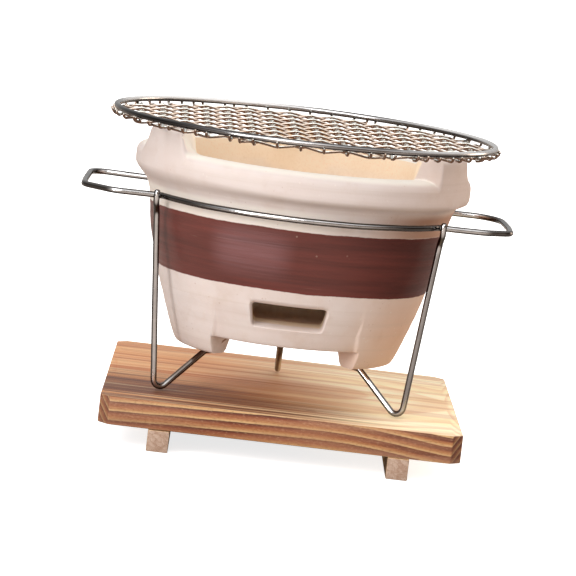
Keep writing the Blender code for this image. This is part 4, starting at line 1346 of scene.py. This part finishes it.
# ------------------------------------------------------- floor, world and lights
def build_floor():
    """Pale floor that looks nearly white but reflects a dimmer, warmer light."""
    mesh = bpy.data.meshes.new("studio_floor")
    mesh.from_pydata([(-14, -6, 0), (14, -6, 0), (14, 22, 0), (-14, 22, 0)], [],
                     [(0, 1, 2, 3)])
    floor = bpy.data.objects.new("studio_floor", mesh)
    floor.location.z = -0.0002
    scene.collection.objects.link(floor)
    material, g = new_material("pale_floor")
    cloud = g.noise(g.coord(), scale=3.0, detail=3.0, rough=0.5)
    seen = g.node("LightPath", {}, "Is Camera Ray")
    pale = g.mix((0.97, 0.968, 0.965), (0.95, 0.948, 0.945), cloud)
    g.shade({"Base Color": g.mix((0.43, 0.375, 0.335), pale, seen),
             "Emission Color": (1, 1, 1), "Emission Strength": seen * 0.78,
             "Roughness": 0.9, "Specular IOR Level": 0.05})
    mesh.materials.append(material)


def build_world():
    """Bright overhead and behind, grey at the left, warm and dim at the right."""
    world = bpy.data.worlds.new("soft_studio")
    scene.world = world
    g = Graph(world, "Background", "World")
    x, y, z = g.split(g.coord("Generated"))
    sky = g.mix((0.42, 0.41, 0.40), (0.20, 0.125, 0.08), x.step(-0.75, 0.80))
    sky = sky.tint((0.72, 0.71, 0.70), y.step(0.10, 0.85))
    sky = sky.tint((2.0, 1.985, 1.98), z.step(0.22, 0.88))
    # the camera itself sees plain white above the horizon
    sky = sky.tint((1.55, 1.55, 1.55), g.node("LightPath", {}, "Is Camera Ray"))
    g.shade({"Color": sky, "Strength": 0.66})


def add_light(name, kind, direction, power, colour, location=(0, 0, 0), **settings):
    light = bpy.data.lights.new(name, kind)
    light.energy = power
    light.color = colour
    for setting, value in settings.items():
        setattr(light, setting, value)
    ob = bpy.data.objects.new(name, light)
    ob.location = location
    ob.rotation_euler = direction.to_track_quat("-Z", "Y").to_euler()
    scene.collection.objects.link(ob)


def add_panel(name, location, power, colour, width, height):
    """Rectangular light aimed at the middle of the hibachi; metres."""
    add_light(name, "AREA", Vector((0, 0, 0.10)) - Vector(location), power, colour,
              location, shape="RECTANGLE", size=width, size_y=height)


build_floor()
build_world()
add_light("key_sun", "SUN", Vector((0.38, 0.86, -0.56)), power=1.38,
          colour=(1.0, 0.998, 0.995), angle=math.radians(44.0))
add_panel("strip_left", (-0.85, -1.1, 0.42), power=6.0, colour=(0.99, 0.985, 1.0),
          width=0.24, height=0.8)
add_panel("warm_right", (1.05, 0.62, 0.30), power=3.9, colour=(1.0, 0.80, 0.64),
          width=0.45, height=0.6)


# ------------------------------------------------------------------------- camera
def build_camera():
    """Long lens from the front, a little above and rolled."""
    distance = 1.91656                  # metres
    azimuth, elevation, roll = map(math.radians, (-1.07, 7.54, 6.831))
    target = AXIS + Vector((-0.77, 0.0, 76.935)) * MM
    back = Vector((math.sin(azimuth) * math.cos(elevation),
                   -math.cos(azimuth) * math.cos(elevation), math.sin(elevation)))
    place = target + back * distance
    level = (-back).cross(Vector((0, 0, 1))).normalized()
    upright = level.cross(-back)
    right = level * math.cos(roll) + upright * math.sin(roll)
    up = -level * math.sin(roll) + upright * math.cos(roll)
    camera = bpy.data.objects.new("camera", bpy.data.cameras.new("camera"))
    rows = list(zip(right, up, back, place))
    camera.matrix_world = Matrix((*rows, (0, 0, 0, 1)))
    camera.data.sensor_width = 36.0
    camera.data.lens = 243.898125
    camera.data.clip_end = 80.0
    scene.collection.objects.link(camera)
    scene.camera = camera


build_camera()
scene.view_settings.view_transform = "Standard"
